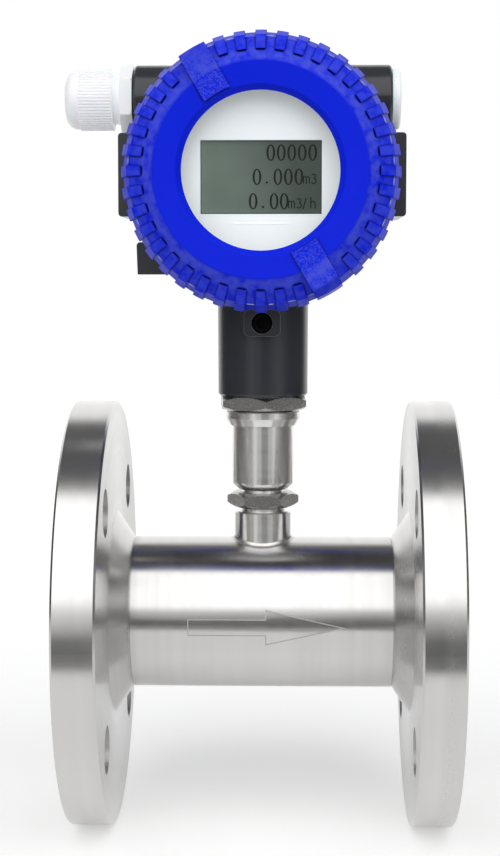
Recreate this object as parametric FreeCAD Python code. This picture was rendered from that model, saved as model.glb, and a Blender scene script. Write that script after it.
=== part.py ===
import FreeCAD, Part
import math
import os

os.makedirs("parts", exist_ok=True)

# Liquid turbine flow meter with a local display head. Millimetres.
# The origin is the centre of the inlet flange's sealing face, +X is the flow
# direction, +Z points from the pipe to the head and the display faces -Y.

# Fits and gaps shared by many pieces
THREAD_CLEARANCE = 0.1
SLIP_FIT = 0.05
RUNNING_FIT = 0.05
SEAT_GAP = 0.3

# Meter run
FACE_TO_FACE = 150.0
BORE_D = 50.0
TUBE_WALL = 4.25
FLANGE_OD = 165.0
FLANGE_RIM = 16.0
RAISED_FACE_D = 102.0
RAISED_FACE_HEIGHT = 2.0
BOLT_CIRCLE_D = 125.0
BOLT_HOLE_D = 18.0
BOLT_COUNT = 4
HUB_FOOT_D = 78.4
HUB_LENGTH = 7.0
RIM_CHAMFER = 0.8
WELD_GROOVE = 0.35

# Engraved flow arrow on the tube's front
ARROW_LENGTH = 60.0
ARROW_HEAD_LENGTH = 30.6
ARROW_HEAD_WIDTH = 13.7
ARROW_SHAFT_WIDTH = 6.5
ARROW_LINE_WIDTH = 0.45
ARROW_DEPTH = 0.2
ARROW_SHIFT = 2.0
ARROW_DROP = 1.0

# Rotor chamber, rotor, flow guides and their retainers
CHAMBER_D = 47.0
CHAMBER_LENGTH = 50.0
ROTOR_TIP_GAP = 0.5
ROTOR_HUB_D = 16.0
ROTOR_EDGE = 1.0
ROTOR_LENGTH = 16.0
ROTOR_END_GAP = 0.6
BLADE_COUNT = 6
BLADE_WIDTH = 12.0
BLADE_THICKNESS = 1.2
BLADE_TIP_ANGLE = 45.0
BLADE_OVERRUN = 1.0
SHAFT_D = 3.0
SHAFT_LENGTH = 34.0
SHAFT_END_GAP = 0.6
BEARING_WALL = 1.45
BEARING_FLANGE_D = 10.0
BEARING_FLANGE_THICKNESS = 1.0
GUIDE_HUB_D = 18.0
GUIDE_NOSE_LENGTH = 12.0
GUIDE_NOSE_FLAT_D = 6.0
GUIDE_NOSE_INSET = 5.0
GUIDE_RING_WALL = 1.3
VANE_COUNT = 4
VANE_THICKNESS = 1.5
VANE_INSET = 6.0
RETAINER_INSET = 11.0
RETAINER_THICKNESS = 1.5
RETAINER_WIDTH = 3.4
RETAINER_GROOVE_DEPTH = 1.2
RETAINER_OPENING = 34.0

# Pickup: welded boss, screwed pickup body and lock nuts
BOSS_D = 22.0
BOSS_HEIGHT = 10.75
BOSS_CHAMFER = 0.5
BOSS_WELD_LEG = 1.2
FOOT_CURVE_POINTS = 24
PICKUP_THREAD_D = 16.66
PICKUP_TIP_D = 14.0
PICKUP_POCKET_FLOOR = 1.4
PICKUP_THREAD_START = 0.6
PICKUP_RELIEF_D = 15.6
PICKUP_RELIEF_HEIGHT = 1.0
LOCK_NUT_LIFT = 1.7
LOCK_NUT_FLATS = 24.0
LOCK_NUT_HEIGHT = 5.8
LOCK_NUT_CHAMFER = 2.8
BODY_LIFT = 1.1
BODY_D = 23.8
BODY_LENGTH = 25.0
BODY_FOOT_D = 19.0
BODY_FOOT_CHAMFER = 1.9
BODY_FOOT_ROUND = 2.0
COLLAR_D = 28.8
COLLAR_HEIGHT = 5.6
COLLAR_FOOT_D = 26.0
COLLAR_TAPER = 2.8
COLLAR_CHAMFER = 0.5
STEM_GASKET_HEIGHT = 0.6
STEM_GASKET_D = 23.2
HEAD_NUT_FLATS = 32.0
HEAD_NUT_HEIGHT = 5.0
HEAD_NUT_CHAMFER = 2.4
HEAD_NUT_TURN = 35.0
NUT_CHAMFER_SLOPE = 30.0
HEAD_THREAD_D = 20.0
HEAD_THREAD_LENGTH = 14.0
HEAD_THREAD_LEAD = 1.0
SPIGOT_D = 18.0
SPIGOT_LENGTH = 20.0
COIL_BORE_D = 9.8
COIL_BORE_DEPTH = 29.6
PICKUP_CHAMBER_D = 15.2
PICKUP_FLOOR = 1.2

# Parts inside the pickup
POLE_PIN_D = 2.8
BOBBIN_D = 9.2
BOBBIN_LENGTH = 16.0
BOBBIN_CHEEK = 1.0
BOBBIN_BARREL_WALL = 1.0
COIL_MARGIN = 0.3
MAGNET_LENGTH = 8.0
POTTING_STOP = 4.0
CABLE_D = 4.0

# Head housing
HEAD_RISE = 83.9
BARREL_D = 95.0
BARREL_LENGTH = 69.0
BARREL_FORWARD = 35.5
MOUTH_SHOULDER = 3.5
MOUTH_LENGTH = 10.0
MOUTH_CHAMFER = 0.6
MOUTH_WALL = 4.0
FRONT_CHAMBER_DEPTH = 32.0
PARTITION = 3.0
BARREL_EDGE = 1.0
NECK_D = 35.0
NECK_FOOT_D = 34.6
NECK_CHAMFER = 1.1
NECK_FLARE_D = 50.0
NECK_FLARE_HEIGHT = 6.5
NECK_FLARE_SINK = 7.5
NECK_FLARE_ROUND = 6.0
NECK_THREAD_DEPTH = 17.0
CABLE_HOLE_D = 14.0
SET_PAD_WIDTH = 13.8
SET_PAD_HEIGHT = 10.0
SET_PAD_RISE = 28.6
SET_PAD_REACH = 20.5
SET_PAD_ROUND = 2.2
SET_SCREW_D = 7.8
SET_SCREW_INSET = 1.4
SET_SCREW_EDGE = 0.5
SET_SCREW_POINT = 1.5
SET_SOCKET_FLATS = 4.0
SET_SOCKET_DEPTH = 4.0
CONDUIT_BOSS_D = 25.8
CONDUIT_PROUD = 1.5
CONDUIT_SINK = 17.5
CONDUIT_THREAD_D = 20.0
CONDUIT_EDGE = 1.2
EAR_PROUD = 6.1
EAR_TO_CONDUIT = 1.6
EAR_FORWARD = 24.0
EAR_LENGTH = 46.0
EAR_ROUND = 1.4
EAR_RIM = 2.4
EAR_RECESS = 0.6
GROUND_BLOCK_PROUD = 0.1
GROUND_BLOCK_TOP = 24.8
GROUND_BLOCK_HEIGHT = 12.2
GROUND_BLOCK_WIDTH = 21.0
GROUND_BLOCK_FORWARD = 16.0
GROUND_BLOCK_LENGTH = 20.0
GROUND_BLOCK_DRAFT = 0.4
GROUND_BLOCK_ROUND = 1.4
GROUND_SCREW_D = 4.0
GROUND_SCREW_LENGTH = 10.0
GROUND_SCREW_INSET = 5.4
GROUND_HOLE_SPARE = 1.0
GROUND_HEAD_D = 7.0
GROUND_HEAD_HEIGHT = 2.8
GROUND_WASHER_D = 8.0
GROUND_WASHER_THICKNESS = 0.8
SCREW_SLOT_WIDTH = 1.0

# Screwed covers, with the outline measured forward from the barrel's end
COVER_GAP = 0.5
COVER_PROUD = 2.5
SEAM_STEP = 2.3
SHOULDER_WIDTH = 11.4
COVER_BAND = 4.5
COVER_SEAM_DEPTH = 11.0
COVER_DEPTH = 17.5
COVER_EDGE = 0.8
COVER_DISH = 0.5
COVER_WEB = 4.0
TOOTH_COUNT = 40
TOOTH_HEIGHT = 0.9
TOOTH_SHARE = 0.52
TOOTH_REACH = 7.0
PAD_WIDTH = 10.5
PAD_MARGIN = 2.6
PAD_RISE = 0.8
PAD_BEVEL = 4.2
PAD_BEVEL_DROP = 5.04
PAD_SIDE_DRAFT = 1.0
PAD_ROUND = 1.0
PAD_TURN = 120.0
WINDOW_FRAME = 10.1
WINDOW_BEVEL = 2.0
WINDOW_LIP = 1.0
GLASS_MARGIN = 5.1
GLASS_THICKNESS = 4.0
GASKET_THICKNESS = 0.8
RING_THICKNESS = 2.3
RING_WIDTH = 4.4
RING_SLOT_WIDTH = 3.0
RING_SLOT_DEPTH = 1.2
COLLAR_WALL = 4.6
O_RING_SECTION = 2.2
REAR_COVER_DEPTH = 16.5

# Display module in the front chamber
BEZEL_BACK = 6.0
BEZEL_PLATE = 1.5
BEZEL_WALL = 1.2
BEZEL_MARGIN = 0.8
BEZEL_ROUND = 0.6
LCD_WIDTH_SHARE = 0.55
LCD_HEIGHT_SHARE = 0.3325
LCD_DROP = 1.9
LCD_BORDER = 2.0
LCD_THICKNESS = 2.4
BACKLIGHT_THICKNESS = 4.6
BOARD_THICKNESS = 1.6
BOARD_MARGIN = 1.0
STANDOFF_COUNT = 3
STANDOFF_FLATS = 5.5
STANDOFF_INSET = 7.0
STANDOFF_START = 90.0
SMALL_SCREW_D = 3.0
SMALL_HEAD_D = 5.4
SMALL_HEAD_HEIGHT = 1.8
STUD_LENGTH = 2.2
SCREW_REACH = 5.0
RIBBON_WIDTH = 10.0
RIBBON_THICKNESS = 1.0
RIBBON_DROP = 24.0
RIBBON_CLEARANCE = 1.5

# Terminals in the rear chamber
TERMINAL_BOARD_MARGIN = 4.0
SPACER_LENGTH = 4.5
SPACER_D = 6.0
SPACER_COUNT = 4
SPACER_INSET = 9.0
TERMINAL_WIDTH = 40.0
TERMINAL_HEIGHT = 12.0
TERMINAL_DEPTH = 11.0
TERMINAL_DROP_SHARE = 0.25
TERMINAL_COUNT = 6
TERMINAL_PITCH = 6.4
TERMINAL_WELL_D = 4.8
TERMINAL_WELL_DEPTH = 5.0
TERMINAL_ENTRY = 4.2
TERMINAL_ENTRY_DEPTH = 6.0
TERMINAL_SCREW_HEIGHT = 2.6

# Cable gland on the inlet side and blind plug on the outlet side
GLAND_THREAD_LENGTH = 11.0
GLAND_WASHER_THICKNESS = 0.6
GLAND_HEX_FLATS = 23.0
GLAND_HEX_LENGTH = 4.7
GLAND_HEX_CHAMFER = 0.8
GLAND_HEX_TURN = 90.0
GLAND_LEAD = 0.8
GLAND_NECK_D = 19.0
GLAND_NECK_LENGTH = 7.7
GLAND_NECK_EDGE = 0.6
GLAND_BORE_D = 13.0
GLAND_MOUTH_D = 14.6
GLAND_MOUTH_DEPTH = 3.0
GLAND_NUT_GAP = 3.0
GLAND_NUT_GRIP = 12.6
GLAND_NUT_LENGTH = 18.2
GLAND_NUT_D = 22.6
GLAND_NUT_HOLE_D = 13.0
GLAND_DOME_ROUND = 4.6
GLAND_RIB_COUNT = 60
GLAND_RIB_HEIGHT = 0.5
GLAND_RIB_SHARE = 0.5
GLAND_CREST_SHARE = 0.7
CLAW_LENGTH = 8.4
CLAW_WALL = 1.7
CLAW_SLOTS = 8
CLAW_SLOT_WIDTH = 1.4
CLAW_BASE = 2.0
SEAL_WALL = 1.6
SEAL_LENGTH = 9.5
CABLE_ENTRY_D = 10.4
PLUG_HEAD_D = 23.0
PLUG_HEAD_HEIGHT = 3.4
PLUG_HEAD_ROUND = 1.2
PLUG_THREAD_LENGTH = 10.0
PLUG_WALL = 2.5
PLUG_LEAD = 0.8
PLUG_GAP = 0.2
PLUG_SOCKET_FLATS = 10.0
PLUG_RING_SECTION = 1.2

# Places worked out from the sizes above
MID_X = FACE_TO_FACE / 2
BORE_R = BORE_D / 2
TUBE_R = BORE_R + TUBE_WALL
CHAMBER_R = CHAMBER_D / 2
FLANGE_BACK = RAISED_FACE_HEIGHT + FLANGE_RIM
HUB_END = FLANGE_BACK + HUB_LENGTH
CHAMBER_START = MID_X - CHAMBER_LENGTH / 2
RETAINER_END = RETAINER_INSET + RETAINER_THICKNESS + SLIP_FIT
GUIDE_FACE = MID_X - ROTOR_LENGTH / 2 - ROTOR_END_GAP
ROTOR_TIP_R = CHAMBER_R - ROTOR_TIP_GAP
BEARING_R = SHAFT_D / 2 + RUNNING_FIT + BEARING_WALL
BOSS_TOP = TUBE_R + BOSS_HEIGHT
LOCK_NUT_Z = BOSS_TOP + LOCK_NUT_LIFT
BODY_Z = LOCK_NUT_Z + LOCK_NUT_HEIGHT + BODY_LIFT
COLLAR_Z = BODY_Z + BODY_LENGTH
COLLAR_TOP = COLLAR_Z + COLLAR_HEIGHT
HEAD_NUT_Z = COLLAR_TOP + STEM_GASKET_HEIGHT
NECK_Z = HEAD_NUT_Z + HEAD_NUT_HEIGHT
POCKET_Z = CHAMBER_R + PICKUP_POCKET_FLOOR
TIP_Z = POCKET_Z + SEAT_GAP
COIL_FLOOR_Z = TIP_Z + PICKUP_FLOOR
PICKUP_STEP_Z = COIL_FLOOR_Z + COIL_BORE_DEPTH
PICKUP_TOP = NECK_Z + HEAD_THREAD_LENGTH + SPIGOT_LENGTH
MAGNET_Z = COIL_FLOOR_Z + SEAT_GAP + BOBBIN_LENGTH
POTTING_TOP = PICKUP_TOP - POTTING_STOP
HEAD_Z = NECK_Z + HEAD_RISE
BARREL_R = BARREL_D / 2
FRONT_Y = -BARREL_FORWARD
BACK_Y = BARREL_LENGTH - BARREL_FORWARD
MOUTH_FRONT_Y = FRONT_Y - MOUTH_LENGTH
MOUTH_BACK_Y = BACK_Y + MOUTH_LENGTH
PARTITION_FRONT_Y = MOUTH_FRONT_Y + FRONT_CHAMBER_DEPTH
PARTITION_BACK_Y = PARTITION_FRONT_Y + PARTITION
MOUTH_R = BARREL_R - MOUTH_SHOULDER
CHAMBER_BORE_R = MOUTH_R - MOUTH_WALL
NECK_FLARE_TOP = BARREL_R - NECK_FLARE_SINK
CONDUIT_REACH = BARREL_R + CONDUIT_PROUD
EAR_REACH = BARREL_R + EAR_PROUD
GROUND_BLOCK_REACH = BARREL_R + GROUND_BLOCK_PROUD
COVER_R = BARREL_R + COVER_PROUD
COVER_SEAM_R = COVER_R - SEAM_STEP
COVER_FLAT_R = COVER_R - SHOULDER_WIDTH
TOOTH_INNER_R = COVER_R - TOOTH_REACH
WINDOW_R = COVER_FLAT_R - WINDOW_FRAME
PAD_INNER_R = WINDOW_R + PAD_MARGIN
LCD_WIDTH = LCD_WIDTH_SHARE * 2 * CHAMBER_BORE_R
LCD_HEIGHT = LCD_HEIGHT_SHARE * 2 * CHAMBER_BORE_R
STANDOFF_CIRCLE_R = CHAMBER_BORE_R - STANDOFF_INSET
SPACER_CIRCLE_R = CHAMBER_BORE_R - SPACER_INSET
TERMINAL_DROP = TERMINAL_DROP_SHARE * CHAMBER_BORE_R
CONDUIT_Z = HEAD_Z + BARREL_R - CONDUIT_SINK
EAR_TOP_Z = CONDUIT_Z - CONDUIT_BOSS_D / 2 - EAR_TO_CONDUIT
EAR_HEIGHT = 2 * (EAR_TOP_Z - HEAD_Z)
CONDUIT_HOLE_R = CONDUIT_THREAD_D / 2 + THREAD_CLEARANCE
SET_PAD_Z = NECK_Z + SET_PAD_RISE
BEZEL_Y = FRONT_Y - BEZEL_BACK
LCD_Y = BEZEL_Y + BEZEL_PLATE
BACKLIGHT_Y = LCD_Y + LCD_THICKNESS
BOARD_Y = BACKLIGHT_Y + BACKLIGHT_THICKNESS
BOARD_BACK_Y = BOARD_Y + BOARD_THICKNESS
LCD_Z = HEAD_Z - LCD_DROP
TERMINAL_BOARD_Y = PARTITION_BACK_Y + SPACER_LENGTH
TERMINAL_Y = TERMINAL_BOARD_Y + BOARD_THICKNESS
TERMINAL_Z = HEAD_Z - TERMINAL_DROP
GLASS_R = WINDOW_R + GLASS_MARGIN
GLASS_POCKET_R = GLASS_R + SEAT_GAP
WINDOW_SEAT = COVER_DEPTH - COVER_DISH - WINDOW_BEVEL - WINDOW_LIP
GLASS_FRONT = WINDOW_SEAT - GASKET_THICKNESS
GLASS_BACK = GLASS_FRONT - GLASS_THICKNESS
GLAND_HEX_END = GLAND_WASHER_THICKNESS + GLAND_HEX_LENGTH
GLAND_NUT_START = GLAND_HEX_END + GLAND_NUT_GAP
GLAND_NECK_END = GLAND_HEX_END + GLAND_NECK_LENGTH
SEAL_R = CABLE_ENTRY_D / 2 + SEAL_WALL

X_AXIS = FreeCAD.Vector(1, 0, 0)
Y_AXIS = FreeCAD.Vector(0, 1, 0)
Z_AXIS = FreeCAD.Vector(0, 0, 1)
STEM = FreeCAD.Vector(MID_X, 0, 0)
HEAD = FreeCAD.Vector(MID_X, 0, HEAD_Z)
INLET_ENTRY = FreeCAD.Vector(MID_X - CONDUIT_REACH, 0, CONDUIT_Z)
OUTLET_ENTRY = FreeCAD.Vector(MID_X + CONDUIT_REACH, 0, CONDUIT_Z)
OUT_INLET = FreeCAD.Vector(-1, 0, 0)


def point(x, y, z):
    """A place in the part's frame."""
    return FreeCAD.Vector(x, y, z)


def outline(corners):
    """Closed wire in the XY plane through (x, y) or (x, y, rounding radius)."""
    stops = []
    count = len(corners)
    for index, corner in enumerate(corners):
        here = point(corner[0], corner[1], 0)
        radius = corner[2] if len(corner) > 2 else 0
        if radius == 0:
            stops.append((here, here, None))
            continue
        before = corners[index - 1]
        after = corners[(index + 1) % count]
        back = point(before[0], before[1], 0).sub(here).normalize()
        ahead = point(after[0], after[1], 0).sub(here).normalize()
        half = back.getAngle(ahead) / 2
        reach = radius / math.tan(half)
        inward = point(back.x + ahead.x, back.y + ahead.y, 0).normalize()
        middle = here + inward * (radius / math.sin(half) - radius)
        stops.append((here + back * reach, here + ahead * reach, middle))
    edges = []
    for index, (start, end, middle) in enumerate(stops):
        if middle is not None:
            edges.append(Part.Arc(start, middle, end).toShape())
        following = stops[(index + 1) % count][0]
        if end.distanceToPoint(following) > 1e-7:
            edges.append(Part.LineSegment(end, following).toShape())
    return Part.Wire(edges)


def placed(shape, base, axis, spin=0.0):
    """The shape with its own Y axis laid along axis and its origin at base."""
    spun = FreeCAD.Rotation(Y_AXIS, spin)
    turn = FreeCAD.Rotation(Y_AXIS, axis)
    moved = shape.copy()
    moved.Placement = FreeCAD.Placement(base, turn.multiply(spun)).multiply(shape.Placement)
    return moved


def turned(corners, base, axis):
    """Solid of revolution from (radius, height) corners, height along axis."""
    section = Part.Face(outline(corners))
    solid = section.revolve(point(0, 0, 0), Y_AXIS, 360)
    return placed(solid, base, axis)


def rod(radius, start, end, base, axis):
    """Plain cylinder between two heights along axis."""
    solid = Part.makeCylinder(radius, end - start, point(0, start, 0), Y_AXIS)
    return placed(solid, base, axis)


def tube(outer, inner, start, end, base, axis):
    """Plain ring between two heights along axis."""
    return rod(outer, start, end, base, axis).cut(rod(inner, start, end, base, axis))


def box(low, high):
    """Block between two opposite corners."""
    size = high.sub(low)
    return Part.makeBox(size.x, size.y, size.z, low)


def prism(corners, start, end, base, axis, spin=0.0):
    """Extruded outline, its height along axis from start to end."""
    upright = FreeCAD.Rotation(Z_AXIS, Y_AXIS)
    solid = Part.Face(outline(corners)).extrude(point(0, 0, end - start))
    solid.translate(point(0, 0, start))
    solid.Placement = FreeCAD.Placement(point(0, 0, 0), upright).multiply(solid.Placement)
    return placed(solid, base, axis, spin)


def hexagon(flats):
    """Corners of a hexagon with a corner on its first axis."""
    radius = flats / math.sqrt(3)
    angles = [math.radians(60 * step) for step in range(6)]
    return [(radius * math.cos(angle), radius * math.sin(angle)) for angle in angles]


def hex_nut(flats, height, chamfer, hole_r, base, axis, turn):
    """Hexagon nut with both ends chamfered at its corners."""
    corner_r = flats / math.sqrt(3)
    drop = chamfer * math.tan(math.radians(NUT_CHAMFER_SLOPE))
    barrel = turned([(0, 0), (corner_r - chamfer, 0), (corner_r, drop),
                     (corner_r, height - drop), (corner_r - chamfer, height), (0, height)],
                    base, axis)
    nut = prism(hexagon(flats), 0, height, base, axis, turn).common(barrel)
    return nut.cut(rod(hole_r, 0, height, base, axis))


def around(shape, count, base, axis, start=0.0):
    """Copies of the shape spaced evenly about an axis through base."""
    copies = []
    for step in range(count):
        copy = shape.copy()
        copy.rotate(base, axis, start + step * 360.0 / count)
        copies.append(copy)
    return copies


def joined(first, others):
    """One solid from touching or overlapping pieces."""
    return first.fuse(others).removeSplitter()


def mirrored(shape):
    """The same piece at the outlet end of the meter."""
    return shape.mirror(STEM, X_AXIS)


def torus_ring(inner_r, section, centre_height, base, axis):
    """Round-section seal ring lying square to axis."""
    centre_r = inner_r + section / 2
    ring = Part.makeTorus(centre_r, section / 2, point(0, centre_height, 0), Y_AXIS)
    return placed(ring, base, axis)


def slotted_screw(thread_d, length, head_d, head_height, base, axis):
    """Cheese-head screw, its head standing out along axis from base."""
    edge = head_height / 4
    screw = turned([(0, -length), (thread_d / 2 - edge / 2, -length),
                    (thread_d / 2, -length + edge / 2), (thread_d / 2, 0), (head_d / 2, 0),
                    (head_d / 2, head_height, edge), (0, head_height)], base, axis)
    half = SCREW_SLOT_WIDTH / 2
    depth = head_height / 2
    slot = prism([(-head_d, -half), (head_d, -half), (head_d, half), (-head_d, half)],
                 head_height - depth, head_height + depth, base, axis)
    return screw.cut(slot)


# Meter run

def inlet_flange():
    """Raised-face flange with its tapered hub, bolt holes and retainer groove."""
    rim_r = FLANGE_OD / 2
    groove_r = BORE_R + RETAINER_GROOVE_DEPTH
    section = [(BORE_R, 0), (RAISED_FACE_D / 2, 0), (RAISED_FACE_D / 2, RAISED_FACE_HEIGHT),
               (rim_r - RIM_CHAMFER, RAISED_FACE_HEIGHT),
               (rim_r, RAISED_FACE_HEIGHT + RIM_CHAMFER), (rim_r, FLANGE_BACK - RIM_CHAMFER),
               (rim_r - RIM_CHAMFER, FLANGE_BACK), (HUB_FOOT_D / 2, FLANGE_BACK),
               (TUBE_R, HUB_END - WELD_GROOVE), (TUBE_R - WELD_GROOVE, HUB_END),
               (BORE_R, HUB_END), (BORE_R, RETAINER_END), (groove_r, RETAINER_END),
               (groove_r, RETAINER_INSET - SLIP_FIT), (BORE_R, RETAINER_INSET - SLIP_FIT)]
    flange = turned(section, point(0, 0, 0), X_AXIS)
    hole = rod(BOLT_HOLE_D / 2, 0, FLANGE_BACK + HUB_LENGTH,
               point(0, BOLT_CIRCLE_D / 2, 0), X_AXIS)
    return flange.cut(around(hole, BOLT_COUNT, point(0, 0, 0), X_AXIS, 180.0 / BOLT_COUNT))


def arrow_groove():
    """Outline arrow pointing downstream, sunk into the tube's front."""
    tail = ARROW_SHIFT - ARROW_LENGTH / 2
    tip = ARROW_SHIFT + ARROW_LENGTH / 2
    neck = tip - ARROW_HEAD_LENGTH
    shaft = ARROW_SHAFT_WIDTH / 2
    head = ARROW_HEAD_WIDTH / 2
    outside = Part.Face(outline([(tail, -shaft), (neck, -shaft), (neck, -head), (tip, 0),
                                 (neck, head), (neck, shaft), (tail, shaft)]))
    inside = outside.makeOffset2D(-ARROW_LINE_WIDTH, 2)
    line = outside.cut(inside).extrude(point(0, 0, TUBE_R))
    line.rotate(point(0, 0, 0), X_AXIS, 90)
    line.translate(point(MID_X, 0, -ARROW_DROP))
    return line.cut(rod(TUBE_R - ARROW_DEPTH, HUB_END, FACE_TO_FACE, point(0, 0, 0), X_AXIS))


def meter_tube():
    """Tube with the rotor chamber, the pickup pocket and the flow arrow."""
    far = FACE_TO_FACE - HUB_END
    section = [(BORE_R, HUB_END), (TUBE_R - WELD_GROOVE, HUB_END),
               (TUBE_R, HUB_END + WELD_GROOVE), (TUBE_R, far - WELD_GROOVE),
               (TUBE_R - WELD_GROOVE, far), (BORE_R, far),
               (BORE_R, FACE_TO_FACE - CHAMBER_START), (CHAMBER_R, FACE_TO_FACE - CHAMBER_START),
               (CHAMBER_R, CHAMBER_START), (BORE_R, CHAMBER_START)]
    body = turned(section, point(0, 0, 0), X_AXIS)
    pocket = rod(PICKUP_TIP_D / 2 + SEAT_GAP, POCKET_Z, BOSS_TOP, STEM, Z_AXIS)
    return body.cut([pocket, arrow_groove()])


def run_solid(radius):
    """Solid rod about the pipe's axis, longer than the meter."""
    return rod(radius, -FACE_TO_FACE, 2 * FACE_TO_FACE, point(0, 0, 0), X_AXIS)


def sensor_boss():
    """Threaded boss whose foot is cut to the tube's curve."""
    radius = BOSS_D / 2
    boss = turned([(0, 0), (radius, 0), (radius, BOSS_TOP - BOSS_CHAMFER),
                   (radius - BOSS_CHAMFER, BOSS_TOP), (0, BOSS_TOP)], STEM, Z_AXIS)
    hole = rod(PICKUP_THREAD_D / 2 + THREAD_CLEARANCE, 0, BOSS_TOP, STEM, Z_AXIS)
    return boss.cut([hole, run_solid(TUBE_R)])


def foot_curve(spread, lift):
    """Closed curve round the boss's foot, moved out along the tube and up the boss."""
    radius = BOSS_D / 2 + spread
    reach = TUBE_R + lift
    points = []
    for step in range(FOOT_CURVE_POINTS):
        angle = 2 * math.pi * step / FOOT_CURVE_POINTS
        across = radius * math.sin(angle)
        points.append(point(MID_X + radius * math.cos(angle), across,
                            math.sqrt(reach * reach - across * across)))
    curve = Part.BSplineCurve()
    curve.interpolate(points, PeriodicFlag=True)
    return curve.toShape()


def boss_weld():
    """Fillet weld of even size round the boss's foot."""
    leg = BOSS_WELD_LEG
    curves = [foot_curve(-leg / 2, -leg / 2), foot_curve(leg, -leg / 4), foot_curve(leg, 0),
              foot_curve(leg / 3, leg / 3), foot_curve(0, leg), foot_curve(-leg / 2, leg)]
    faces = []
    for index, curve in enumerate(curves):
        faces += Part.makeRuledSurface(curve, curves[(index + 1) % len(curves)]).Faces
    ring = Part.makeSolid(Part.makeShell(faces))
    if ring.Volume < 0:
        ring.reverse()
    return ring.cut([rod(BOSS_D / 2, 0, BOSS_TOP, STEM, Z_AXIS), run_solid(TUBE_R)])


# Flow guides, retainers, bearings and rotor

def inlet_flow_guide():
    """Bullet-nosed hub on straightening vanes inside a thin ring."""
    hub_r = GUIDE_HUB_D / 2
    nose = RETAINER_END + GUIDE_NOSE_INSET
    flat_r = GUIDE_NOSE_FLAT_D / 2
    hub = turned([(0, nose), (flat_r, nose, flat_r / 2), (hub_r, nose + GUIDE_NOSE_LENGTH, hub_r),
                  (hub_r, GUIDE_FACE), (0, GUIDE_FACE)], point(0, 0, 0), X_AXIS)
    ring_r = BORE_R - SLIP_FIT
    ring = tube(ring_r, ring_r - GUIDE_RING_WALL, RETAINER_END, CHAMBER_START,
                point(0, 0, 0), X_AXIS)
    half = VANE_THICKNESS / 2
    vane = box(point(RETAINER_END + VANE_INSET + GUIDE_NOSE_LENGTH, -half, hub_r / 2),
               point(CHAMBER_START, half, ring_r - GUIDE_RING_WALL / 2))
    vanes = around(vane, VANE_COUNT, point(0, 0, 0), X_AXIS, 180.0 / VANE_COUNT)
    guide = joined(hub, [ring] + vanes)
    base = point(GUIDE_FACE, 0, 0)
    sink = BEARING_FLANGE_THICKNESS - SEAT_GAP
    pocket_end = GUIDE_FACE - (MID_X - SHAFT_LENGTH / 2 - SHAFT_END_GAP)
    pocket = rod(BEARING_R + SLIP_FIT, -pocket_end, 0, base, X_AXIS)
    counterbore = rod(BEARING_FLANGE_D / 2 + SLIP_FIT, -sink, 0, base, X_AXIS)
    return guide.cut([pocket, counterbore])


def inlet_retaining_ring():
    """Spring ring that snaps into the groove in front of the flow guide."""
    outer = BORE_R + RETAINER_GROOVE_DEPTH - 2 * SLIP_FIT
    end = RETAINER_INSET + RETAINER_THICKNESS
    ring = tube(outer, outer - RETAINER_WIDTH, RETAINER_INSET, end, point(0, 0, 0), X_AXIS)
    half = RETAINER_OPENING / 2
    gap = prism([(0, 0), (2 * outer, -2 * outer * math.tan(math.radians(half))),
                 (2 * outer, 2 * outer * math.tan(math.radians(half)))],
                RETAINER_INSET, end, point(0, 0, 0), X_AXIS)
    return ring.cut(gap)


def inlet_bearing():
    """Flanged sleeve bearing in the guide's hub."""
    bore_r = SHAFT_D / 2 + RUNNING_FIT
    start = MID_X - SHAFT_LENGTH / 2
    face = GUIDE_FACE + SEAT_GAP
    back = face - BEARING_FLANGE_THICKNESS
    return turned([(bore_r, start), (BEARING_R, start), (BEARING_R, back),
                   (BEARING_FLANGE_D / 2, back), (BEARING_FLANGE_D / 2, face), (bore_r, face)],
                  point(0, 0, 0), X_AXIS)


def blade_section(radius):
    """Blade outline at one radius, leaning more the further out it is."""
    lean = math.tan(math.radians(BLADE_TIP_ANGLE)) * radius / ROTOR_TIP_R
    along = BLADE_WIDTH / 2
    across = along * lean
    half = BLADE_THICKNESS / 2
    length = math.hypot(along, across)
    side_x = -across / length * half
    side_y = along / length * half
    corners = [(along + side_x, across + side_y), (-along + side_x, -across + side_y),
               (-along - side_x, -across - side_y), (along - side_x, across - side_y)]
    return Part.makePolygon([point(x, y, radius) for x, y in corners + corners[:1]])


def turbine_rotor():
    """Rotor with leaning blades trimmed to the chamber."""
    hub_r = ROTOR_HUB_D / 2
    half = ROTOR_LENGTH / 2
    middle = point(MID_X, 0, 0)
    hub = turned([(0, -half), (hub_r, -half, ROTOR_EDGE), (hub_r, half, ROTOR_EDGE), (0, half)],
                 middle, X_AXIS)
    sections = [blade_section(hub_r / 2), blade_section(ROTOR_TIP_R + BLADE_OVERRUN)]
    blade = Part.makeLoft(sections, True, True)
    blade.translate(middle)
    blade = blade.common(rod(ROTOR_TIP_R, -half, half, middle, X_AXIS))
    rotor = joined(hub, around(blade, BLADE_COUNT, middle, X_AXIS))
    return rotor.cut(rod(SHAFT_D / 2 + SLIP_FIT / 2, -half, half, middle, X_AXIS))


def rotor_shaft():
    """Shaft fixed in the rotor, turning in both bearings."""
    half = SHAFT_LENGTH / 2
    return turned([(0, -half), (SHAFT_D / 2, -half, SHAFT_D / 8), (SHAFT_D / 2, half, SHAFT_D / 8),
                   (0, half)], point(MID_X, 0, 0), X_AXIS)


# Pickup and its nuts

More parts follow.
